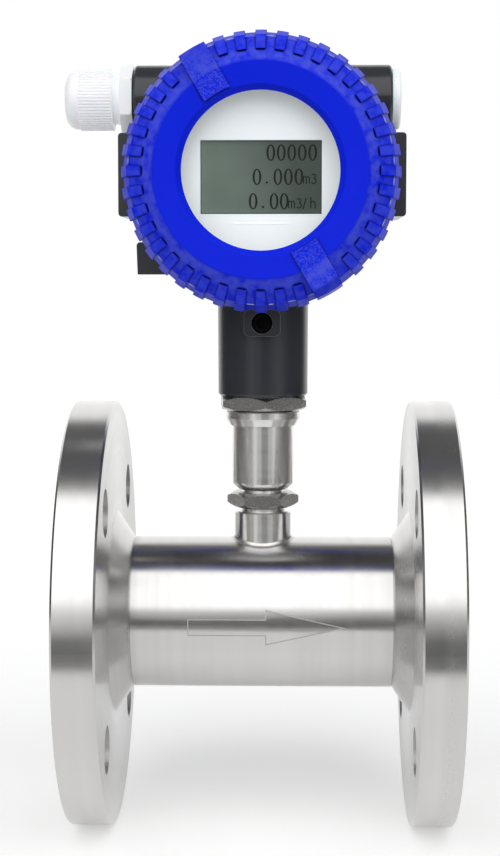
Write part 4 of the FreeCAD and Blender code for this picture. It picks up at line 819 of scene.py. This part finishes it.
def bead_grower() -> Grower:
    """Makes the tree of a saddle weld: overlapping drops round a boss on a tube.

    Returns:
        The grower, with the inputs Boss, Tube, Drops and Drop.
    """
    made = Grower("saddle_weld", ("Boss", "Tube", "Drops", "Drop"))
    tree, given = made.tree, made.given
    ring = add_node(tree, "GeometryNodeCurvePrimitiveCircle", {
        "Resolution": WELD_STEPS, "Radius": given["Boss"]})
    points = add_node(tree, "GeometryNodeCurveToPoints", {"Curve": ring, "Count": given["Drops"]},
                      mode="COUNT")
    here = add_node(tree, "GeometryNodeInputPosition")
    side = add_node(tree, "SeparateXYZ", {0: here}).outputs["Y"]
    tube_sq = add_node(tree, "Math", {0: given["Tube"], 1: 2.0}, operation="POWER")
    side_sq = add_node(tree, "Math", {0: side, 1: side}, operation="MULTIPLY")
    rest = add_node(tree, "Math", {0: tube_sq, 1: side_sq}, operation="SUBTRACT")
    lift = add_node(tree, "Math", {0: rest}, operation="SQRT")
    up = add_node(tree, "CombineXYZ", {"Z": lift})
    saddle = add_node(tree, "GeometryNodeSetPosition", {"Geometry": points, "Offset": up})
    drop = add_node(tree, "GeometryNodeMeshUVSphere", {"Segments": 12, "Rings": 8, "Radius": given["Drop"]})
    size = add_node(tree, "FunctionNodeRandomValue", {
        "Min": DROP_LEAST, "Max": DROP_MOST, "Seed": DROP_SEED}, data_type="FLOAT_VECTOR")
    laid = add_node(tree, "GeometryNodeInstanceOnPoints", {
        "Points": saddle, "Instance": drop, "Rotation": points.outputs["Rotation"], "Scale": size})
    made.end(add_node(tree, "GeometryNodeSetShadeSmooth", {0: laid}))
    return made


def arc_grower() -> Grower:
    """Makes the tree of a broken painted highlight round a seam: short arcs of uneven length.

    Returns:
        The grower, with the inputs Radius, Arcs, Length and Width.
    """
    made = Grower("seam_highlight_arcs", ("Radius", "Arcs", "Length", "Width"))
    tree, given = made.tree, made.given
    ring = add_node(tree, "GeometryNodeCurvePrimitiveCircle", {
        "Resolution": SEAM_STEPS, "Radius": given["Radius"]})
    points = add_node(tree, "GeometryNodeCurveToPoints", {"Curve": ring, "Count": given["Arcs"]},
                      mode="COUNT")
    bare = add_node(tree, "FunctionNodeRandomValue", {"Probability": SEAM_BARE, "Seed": BARE_SEED},
                    data_type="BOOLEAN")
    thinned = add_node(tree, "GeometryNodeDeleteGeometry", {"Geometry": points, "Selection": bare},
                       domain="POINT")
    mark = add_node(tree, "GeometryNodeMeshUVSphere", {"Segments": 8, "Rings": 6, "Radius": 1.0})
    stretch = add_node(tree, "FunctionNodeRandomValue", {
        "Min": MARK_LEAST, "Max": 1.0, "Seed": MARK_SEED}, data_type="FLOAT")
    length = add_node(tree, "Math", {0: stretch, 1: given["Length"]}, operation="MULTIPLY")
    size = add_node(tree, "CombineXYZ", {"X": given["Width"], "Y": given["Width"], "Z": length})
    laid = add_node(tree, "GeometryNodeInstanceOnPoints", {
        "Points": thinned, "Instance": mark, "Rotation": points.outputs["Rotation"], "Scale": size})
    made.end(add_node(tree, "GeometryNodeSetShadeSmooth", {0: laid}))
    return made


class Assembly:
    """A group of pieces that is built and then dressed."""

    finishes: tuple[tuple[Finish, str], ...] = ()

    def build(self) -> None:
        """Makes the pieces that the CAD frame leaves to the scene."""

    def dress(self) -> None:
        """Gives each CAD node of the group its finish."""
        for finish, names in self.finishes:
            for name in names.split():
                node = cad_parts[name]
                material = finish.build()
                if not node.material_slots:
                    node.data.materials.append(material)
                for place in node.material_slots:
                    place.material = material
                LOG.info("dressed %s in %s", name, finish.name)


@dataclass
class MeterRun(Assembly):
    """Flanges, tube, flow guides, boss and the marks on them."""

    middle: float = 75.0
    tube_radius: float = 29.25
    arrow_length: float = 60.0
    arrow_head: float = 30.6
    arrow_head_width: float = 13.7
    arrow_shaft_width: float = 6.5
    arrow_line: float = 0.45
    arrow_shift: float = 2.0
    arrow_drop: float = 1.0
    arrow_sink: float = 0.18
    arrow_fill: float = 0.12
    arrow_parts: int = 12
    bead_radius: float = 11.3
    drop_count: int = 84
    drop_radius: float = 0.45

    finishes = (
        (Finishes.FLANGE, "inlet_flange outlet_flange"),
        (Finishes.RUN, "meter_tube inlet_flow_guide outlet_flow_guide inlet_retaining_ring "
                       "outlet_retaining_ring"),
        (Finishes.STEM, "sensor_boss"),
        (Finishes.WELD, "boss_weld"),
        (Finishes.CARBIDE, "inlet_bearing outlet_bearing"),
    )

    def build(self) -> None:
        """Makes the etched arrow and the ripples of the boss weld."""
        self.etch_arrow()
        self.lay_bead()

    def arrow_outline(self, inset: float) -> list[Point2]:
        """Gives the arrow's outline, drawn in from its edge.

        Args:
            inset: how far inside the edge, in millimetres.

        Returns:
            The seven corners, anticlockwise from the tail's lower one.
        """
        tail = self.arrow_shift - self.arrow_length / 2
        tip = self.arrow_shift + self.arrow_length / 2
        neck = tip - self.arrow_head
        shaft = self.arrow_shaft_width / 2 - inset
        slope = math.atan2(self.arrow_head_width / 2, self.arrow_head)
        end = tip - inset / math.sin(slope)
        back = neck + inset
        head = (end - back) * math.tan(slope)
        return [(tail + inset, -shaft), (back, -shaft), (back, -head), (end, 0.0), (back, head),
                (back, shaft), (tail + inset, shaft)]

    def on_tube(self, u: float, v: float, out: float) -> Vector:
        """Places a point of the arrow in its groove on the tube.

        Args:
            u: millimetres downstream of the tube's middle.
            v: millimetres above the arrow's own line.
            out: millimetres off the groove's floor.

        Returns:
            The point in metres.
        """
        height = v - self.arrow_drop
        radius = self.tube_radius - self.arrow_sink + out
        front = math.sqrt(radius ** 2 - height ** 2)
        return Vector((self.middle + u, -front, height)) * MM

    def etch_arrow(self) -> None:
        """Lays the frosted line of the arrow into its groove."""
        shape = bmesh.new()
        outer, inner = (divided(self.arrow_outline(inset), self.arrow_parts)
                        for inset in (0.0, self.arrow_line))
        add_band(shape, outer, inner, self.arrow_fill, self.on_tube)
        make_object("arrow_mark", close_mesh("arrow_mark", shape), Finishes.ETCH, Body.METER)

    def lay_bead(self) -> None:
        """Lays the weld's drops round the boss."""
        mesh = bead_grower().grow("boss_weld_ripples", Finishes.WELD, Boss=self.bead_radius * MM,
                                  Tube=self.tube_radius * MM, Drops=self.drop_count,
                                  Drop=self.drop_radius * MM)
        mesh.transform(Matrix.Translation((self.middle * MM, 0, 0)))
        make_object("boss_weld_ripples", mesh, Finishes.WELD, Body.METER)


@dataclass
class Rotor(Assembly):
    """The turbine rotor on its shaft."""

    finishes = (
        (Finishes.RUN, "turbine_rotor"),
        (Finishes.CARBIDE, "rotor_shaft"),
    )


@dataclass
class Pickup(Assembly):
    """The magnetic pickup, its coil and the nuts that lock it and the head."""

    middle: float = 75.0
    thread_radius: float = 8.1
    thread_depth: float = 0.55
    pitch: float = 1.337
    thread_base: float = 39.2
    thread_turns: float = 2.1

    finishes = (
        (Finishes.STEM, "pickup_body"),
        (Finishes.BLACK, "pickup_bobbin pickup_potting pickup_cable"),
        (Finishes.COPPER, "pickup_coil"),
        (Finishes.TOOL, "pickup_pole_pin"),
        (Finishes.ALLOY, "pickup_magnet"),
        (Finishes.NUT, "pickup_lock_nut head_lock_nut"),
        (Finishes.RUBBER, "stem_gasket"),
    )

    def build(self) -> None:
        """Cuts the thread that shows between the boss and the lock nut."""
        mesh = thread_grower().grow("pickup_thread", Finishes.STEM, Radius=self.thread_radius * MM,
                                    Pitch=self.pitch * MM, Turns=self.thread_turns,
                                    Depth=self.thread_depth * MM)
        mesh.transform(Matrix.Translation((self.middle * MM, 0, self.thread_base * MM)))
        make_object("pickup_thread", mesh, Finishes.STEM, Body.METER)


@dataclass
class Housing(Assembly):
    """The cast head housing with its set screw and ground screw."""

    finishes = (
        (Finishes.HOUSING, "head_housing"),
        (Finishes.TOOL, "neck_set_screw"),
        (Finishes.BRASS, "ground_screw ground_washer"),
    )


@dataclass
class Covers(Assembly):
    """The two screwed covers, their rings and the front window."""

    middle: float = 75.0
    head_height: float = 168.7
    seam_radius: float = 47.9
    seam_y: float = -46.3
    arc_count: int = 80
    arc_length: float = 1.7
    arc_width: float = 0.22

    finishes = (
        (Finishes.COVER, "front_cover rear_cover"),
        (Finishes.RUBBER, "window_gasket front_cover_o_ring rear_cover_o_ring"),
        (Finishes.GLASS, "window_glass"),
        (Finishes.BLACK, "window_retaining_ring"),
    )

    def build(self) -> None:
        """Paints a broken highlight along the front cover's seam."""
        mesh = arc_grower().grow("front_seam_highlight", Finishes.SEAM_HIGHLIGHT, Radius=self.seam_radius * MM,
                                 Arcs=self.arc_count, Length=self.arc_length * MM,
                                 Width=self.arc_width * MM)
        stand = Matrix.Rotation(math.pi / 2, 4, "X")
        there = Matrix.Translation(Vector((self.middle, self.seam_y, self.head_height)) * MM)
        mesh.transform(there @ stand)
        make_object("front_seam_highlight", mesh, Finishes.SEAM_HIGHLIGHT, Body.FRONT_COVER)


@dataclass
class Glyph:
    """One sign of the display, in millimetres from the row's foot line."""

    sign: str
    left: float


@dataclass
class DisplayModule(Assembly):
    """Bezel, liquid crystal display, boards and what the display shows."""

    right_edge: float = 97.0
    top_edge: float = 180.1
    face_y: float = -40.0
    digit_width: float = 3.2
    digit_height: float = 5.9
    side_stroke: float = 0.78
    cap_stroke: float = 0.42
    small_height: float = 3.3
    small_stroke: float = 0.42
    small_lift: float = 0.45
    dot_radius: float = 0.42
    dot_height: float = 0.9
    pinhole: float = 0.02
    depth: float = 0.06
    row_tops: tuple[float, float, float] = (1.5, 10.2, 19.0)
    digit_points: int = 28
    dot_points: int = 12
    cell_width: float = 44.0
    cell_height: float = 26.6
    edge_start: float = 0.02
    edge_end: float = 0.28
    bar_centre: tuple[float, float, float] = (75.0, -41.5, 150.0)
    bar_half: Point2 = (10.5, 0.25)
    bar_top: Point2 = (0.985, 0.4)
    bar_depth: float = 0.15

    finishes = (
        (Finishes.BEZEL, "display_bezel lcd_backlight"),
        (Finishes.LCD, "lcd_panel"),
        (Finishes.BOARD, "display_board"),
        (Finishes.BRASS, "display_standoffs"),
        (Finishes.TOOL, "display_screws"),
        (Finishes.BLACK, "display_ribbon"),
    )

    def rows(self) -> list[list[Glyph]]:
        """Gives the three rows of generic numbers and units, placed from the right edge.

        Returns:
            The rows of signs, top row first.
        """
        known = (("00000", (4.9, 8.7, 12.5, 16.3, 20.1)),
                 ("000.0m3", (9.9, 13.7, 17.5, 19.9, 25.1, 6.6, 3.9)),
                 ("00.0m3/h", (15.2, 18.9, 21.3, 26.5, 12.0, 9.2, 6.9, 4.1)))
        return [[Glyph(sign, left) for sign, left in zip(signs, lefts)] for signs, lefts in known]

    def build(self) -> None:
        """Draws the numbers and the dark edge of the display."""
        self.draw_signs()
        self.draw_edge()
        self.emboss_bar()

    def draw_signs(self) -> None:
        """Draws every sign as thin switched segments on the cell."""
        shape = bmesh.new()
        for top, row in zip(self.row_tops, self.rows()):
            for glyph in row:
                self.draw_glyph(shape, glyph, self.top_edge - top - self.digit_height)
        make_object("lcd_numbers", close_mesh("lcd_numbers", shape), Finishes.SEGMENT, Body.METER)

    def draw_glyph(self, shape: BMesh, glyph: Glyph, foot: float) -> None:
        """Draws one sign.

        Args:
            shape: the bmesh that gets it.
            glyph: the sign and its place.
            foot: the height of the row's foot line.
        """
        place = flat_on(self.right_edge - glyph.left, self.face_y, foot)
        if glyph.sign == "0":
            middle = (self.digit_width / 2, self.digit_height / 2)
            hole = (middle[0] - self.side_stroke, middle[1] - self.cap_stroke)
            add_band(shape, ellipse(middle, middle, self.digit_points),
                     ellipse(middle, hole, self.digit_points), self.depth, place)
            return
        if glyph.sign == ".":
            dot, pin = (ellipse((0.0, self.dot_height), (radius, radius), self.dot_points)
                        for radius in (self.dot_radius, self.pinhole))
            add_band(shape, dot, pin, self.depth, place)
            return
        for path in self.strokes(glyph.sign):
            scaled = [(u * self.small_height, v * self.small_height + self.small_lift) for u, v in path]
            add_stroke(shape, scaled, self.small_stroke, self.depth, place)

    def strokes(self, sign: str) -> list[list[Point2]]:
        """Gives the pen strokes of a small sign on a grid one unit high.

        Args:
            sign: m, 3, / or h.

        Returns:
            The strokes as paths.
        """
        bow = [(0.08, 0.93), (0.28, 1.05), (0.48, 0.97), (0.5, 0.78), (0.3, 0.6)]
        belly = [(0.3, 0.6), (0.52, 0.48), (0.56, 0.22), (0.38, 0.03), (0.18, 0.02), (0.04, 0.16)]
        known = {
            "m": [[(0.0, 0.0), (0.0, 0.82)], [(0.0, 0.68), (0.16, 0.8), (0.32, 0.68), (0.32, 0.0)],
                  [(0.32, 0.68), (0.48, 0.8), (0.64, 0.68), (0.64, 0.0)]],
            "3": [bow, belly],
            "/": [[(0.02, -0.1), (0.4, 1.15)]],
            "h": [[(0.05, 0.0), (0.05, 1.2)], [(0.05, 0.6), (0.25, 0.76), (0.5, 0.66), (0.54, 0.0)]],
        }
        return known[sign]

    def draw_edge(self) -> None:
        """Draws the dark frame of the cell just inside the bezel's opening."""
        shape = bmesh.new()
        place = flat_on(self.right_edge - self.cell_width / 2, self.face_y,
                        self.top_edge - self.cell_height / 2)
        loops = []
        for inset in (self.edge_start, self.edge_end):
            across, up = self.cell_width / 2 - inset, self.cell_height / 2 - inset
            loops.append([(-across, -up), (across, -up), (across, up), (-across, up)])
        add_band(shape, loops[0], loops[1], self.depth, place)
        make_object("lcd_edge", close_mesh("lcd_edge", shape), Finishes.SEGMENT, Body.METER)

    def emboss_bar(self) -> None:
        """Raises the faint bar of the bezel under the display."""
        shape = bmesh.new()
        bar = [(u * self.bar_half[0], v * self.bar_half[1]) for u, v in ((-1, -1), (1, -1), (1, 1), (-1, 1))]
        ridge = [(u * self.bar_top[0], v * self.bar_top[1]) for u, v in bar]
        add_band(shape, bar, ridge, self.bar_depth, flat_on(*self.bar_centre))
        make_object("bezel_bar", close_mesh("bezel_bar", shape), Finishes.BEZEL, Body.METER)


@dataclass
class Terminals(Assembly):
    """The terminal board in the rear chamber."""

    finishes = (
        (Finishes.BOARD, "terminal_board"),
        (Finishes.BRASS, "terminal_spacers terminal_screws"),
        (Finishes.TOOL, "terminal_board_screws"),
        (Finishes.BLACK, "terminal_block"),
    )


@dataclass
class CableEntries(Assembly):
    """The cable gland and the blind plug."""

    axis_height: float = 198.7
    middle: float = 75.0
    neck_start: float = 20.6
    neck_radius: float = 9.35
    neck_pitch: float = 1.5
    neck_depth: float = 0.4
    neck_turns: float = 1.7

    finishes = (
        (Finishes.RUBBER, "gland_washer gland_seal plug_o_ring"),
        (Finishes.NYLON, "gland_body gland_claw gland_nut blind_plug"),
    )

    def build(self) -> None:
        """Cuts the thread that shows on the gland's neck."""
        mesh = thread_grower().grow("gland_neck_thread", Finishes.NYLON, Radius=self.neck_radius * MM,
                                    Pitch=self.neck_pitch * MM, Turns=self.neck_turns,
                                    Depth=self.neck_depth * MM)
        lay = Matrix.Rotation(-math.pi / 2, 4, "Y")
        there = Matrix.Translation(Vector((self.neck_start, 0, self.axis_height)) * MM)
        mesh.transform(there @ lay)
        make_object("gland_neck_thread", mesh, Finishes.NYLON, Body.METER)


@dataclass(frozen=True)
class LightField:
    """One light or dark field of the surround, fading in and out by degrees of turn and of rise."""

    strength: float
    turn_in: Point2
    turn_out: Point2
    rise_in: Point2
    rise_out: Point2

    def light(self, tree: NodeTree, turn: Node, rise: Node) -> Node:
        """Gives the field's light in each direction.

        Args:
            tree: the world's node tree.
            turn: degrees to the side.
            rise: degrees above the horizon.

        Returns:
            The node of its light.
        """
        share: Node | float = self.strength
        for value, start, end in ((turn, self.turn_in, self.turn_out), (rise, self.rise_in, self.rise_out)):
            for (low, high), (first, last) in ((start, (0.0, 1.0)), (end, (1.0, 0.0))):
                ramp = add_node(tree, "MapRange", {
                    "Value": value, "From Min": low, "From Max": high, "To Min": first, "To Max": last},
                    interpolation_type="SMOOTHSTEP")
                share = add_node(tree, "Math", {0: share, 1: ramp}, operation="MULTIPLY")
        return share


@dataclass
class Studio:
    """Pale table, white surround with its dark gaps, and the camera."""

    middle: float = 75.0
    floor_z: float = -82.5
    table_front: float = -275.0
    table_side: float = 1500.0
    table_back: float = 2500.0
    laminate_grain: float = 2.5
    glow_seen: float = 0.36
    glow_mirrored: float = 0.3
    camera_at: tuple[float, float, float] = (87.7, -690.5, 130.3)
    yaw: float = -0.0257
    pitch: float = -0.084
    lens: float = 74.8
    sensor: float = 36.0
    clip_start: float = 0.01
    gloom: float = 0.13
    panel_turn: float = 8.0
    softbox: LightField = LightField(1.6, (-2, -1), (62, 84), (8, 22), (68, 77))
    skirt: LightField = LightField(0.55, (-2, -1), (62, 84), (-4, 14), (14, 22))
    panels: LightField = LightField(0.64, (10, 15), (28, 62), (-60, -40), (4, 24))
    slit: LightField = LightField(-1.0, (-2, -1), (24, 38), (-23, -17), (-6, 0))
    flags: LightField = LightField(-0.09, (62, 80), (112, 126), (-60, -40), (40, 60))
    backdrop: LightField = LightField(1.0, (124, 142), (190, 191), (-91, -90), (38, 52))

    def seen(self, tree: NodeTree) -> Node:
        """Finds the rays that show a surface straight or through the glass.

        Args:
            tree: the node tree of the table or the world.

        Returns:
            A node that gives 1 on those rays.
        """
        path = add_node(tree, "LightPath")
        return add_node(tree, "Math", {
            0: path.outputs["Is Camera Ray"], 1: path.outputs["Is Transmission Ray"]}, operation="MAXIMUM")

    def table_material(self) -> Material:
        """Makes the pale table top, white to the eye but with the meter's shadow.

        Returns:
            The material.
        """
        material = bpy.data.materials.new("white_laminate_table")
        material.use_nodes = True
        tree = material.node_tree
        tree.nodes.clear()
        coords = add_node(tree, "TexCoord").outputs["Object"]
        grain = add_node(tree, "TexNoise", {
            "Vector": coords, "Scale": per_metre(self.laminate_grain)})
        tone = add_node(tree, "Mix", {
            "Factor": grain, "A": linear("#E4E4E4"), "B": linear("#E9E9E9")}, data_type="RGBA")
        body = add_node(tree, "BsdfPrincipled", {"Base Color": tone, "Roughness": 0.7})
        glossy = add_node(tree, "LightPath").outputs["Is Glossy Ray"]
        mirrored = add_node(tree, "Math", {0: glossy, 1: self.glow_mirrored},
                            operation="MULTIPLY")
        glow = add_node(tree, "Math", {0: self.seen(tree), 1: self.glow_seen, 2: mirrored},
                        operation="MULTIPLY_ADD")
        light = add_node(tree, "Emission", {"Color": linear("#FFFFFF"), "Strength": glow})
        both = add_node(tree, "AddShader", {0: body, 1: light})
        add_node(tree, "OutputMaterial", {"Surface": both})
        return material

    def lay_table(self) -> None:
        """Lays the table under the meter."""
        shape = bmesh.new()
        corners = [(-self.table_side, self.table_front), (self.table_side, self.table_front),
                   (self.table_side, self.table_back), (-self.table_side, self.table_back)]
        shape.faces.new([shape.verts.new(Vector((x + self.middle, y, self.floor_z)) * MM)
                         for x, y in corners])
        mesh = bpy.data.meshes.new("table")
        shape.to_mesh(mesh)
        shape.free()
        mesh.materials.append(self.table_material())
        table = bpy.data.objects.new("table", mesh)
        bpy.context.scene.collection.objects.link(table)

    def hang_lights(self) -> None:
        """Builds the surround: softbox, side panels, black flags, a white backdrop and gloom between."""
        world = bpy.data.worlds.new("studio")
        bpy.context.scene.world = world
        world.use_nodes = True
        tree = world.node_tree
        tree.nodes.clear()
        way = add_node(tree, "TexCoord").outputs["Generated"]
        split = add_node(tree, "SeparateXYZ", {0: way})
        towards = add_node(tree, "Math", {0: split.outputs["Y"], 1: -1.0}, operation="MULTIPLY")
        turned = add_node(tree, "Math", {0: split.outputs["X"], 1: towards}, operation="ARCTAN2")
        risen = add_node(tree, "Math", {0: split.outputs["Z"]}, operation="ARCSINE")
        azimuth = add_node(tree, "Math", {0: turned}, operation="DEGREES")
        rise = add_node(tree, "Math", {0: risen}, operation="DEGREES")
        swing = add_node(tree, "Math", {0: azimuth}, operation="ABSOLUTE")
        from_panels = add_node(tree, "Math", {0: azimuth, 1: self.panel_turn}, operation="SUBTRACT")
        gap = add_node(tree, "Math", {0: from_panels}, operation="ABSOLUTE")
        slit = self.slit.light(tree, gap, rise)
        uncovered = add_node(tree, "Math", {0: slit, 1: 1.0}, operation="ADD")
        total = add_node(tree, "Math", {
            0: self.panels.light(tree, gap, rise), 1: uncovered, 2: self.gloom}, operation="MULTIPLY_ADD")
        for part in (self.softbox, self.skirt, self.flags, self.backdrop):
            light = part.light(tree, swing, rise)
            total = add_node(tree, "Math", {0: light, 1: total}, operation="ADD")
        shown = add_node(tree, "Mix", {"Factor": self.seen(tree), "A": total, "B": 1.0},
                         data_type="FLOAT")
        light = add_node(tree, "Background", {"Color": linear("#FFFFFF"), "Strength": shown})
        add_node(tree, "OutputWorld", {"Surface": light})

    def set_camera(self) -> None:
        """Stands the camera where the photograph was taken from."""
        forward = Vector((math.sin(self.yaw) * math.cos(self.pitch),
                          math.cos(self.yaw) * math.cos(self.pitch), math.sin(self.pitch)))
        right = Vector((math.cos(self.yaw), -math.sin(self.yaw), 0))
        turned = Matrix((right, right.cross(forward), -forward)).transposed().to_4x4()
        data = bpy.data.cameras.new("photo_camera")
        data.lens = self.lens
        data.sensor_width = self.sensor
        data.clip_start = self.clip_start
        camera = bpy.data.objects.new("photo_camera", data)
        camera.matrix_world = Matrix.Translation(Vector(self.camera_at) * MM) @ turned
        bpy.context.scene.collection.objects.link(camera)
        bpy.context.scene.camera = camera

    def build(self) -> None:
        """Sets up the whole studio."""
        self.lay_table()
        self.hang_lights()
        self.set_camera()
        bpy.context.scene.view_settings.view_transform = "Standard"


def main() -> None:
    """Builds and dresses the meter, then sets up the studio round it."""
    logging.basicConfig(level=logging.INFO, format="%(message)s")
    for group in (MeterRun(), Rotor(), Pickup(), Housing(), Covers(), DisplayModule(), Terminals(),
                  CableEntries()):
        LOG.info("assembly %s", type(group).__name__)
        group.build()
        group.dress()
    Studio().build()


if __name__ == "__main__":
    main()
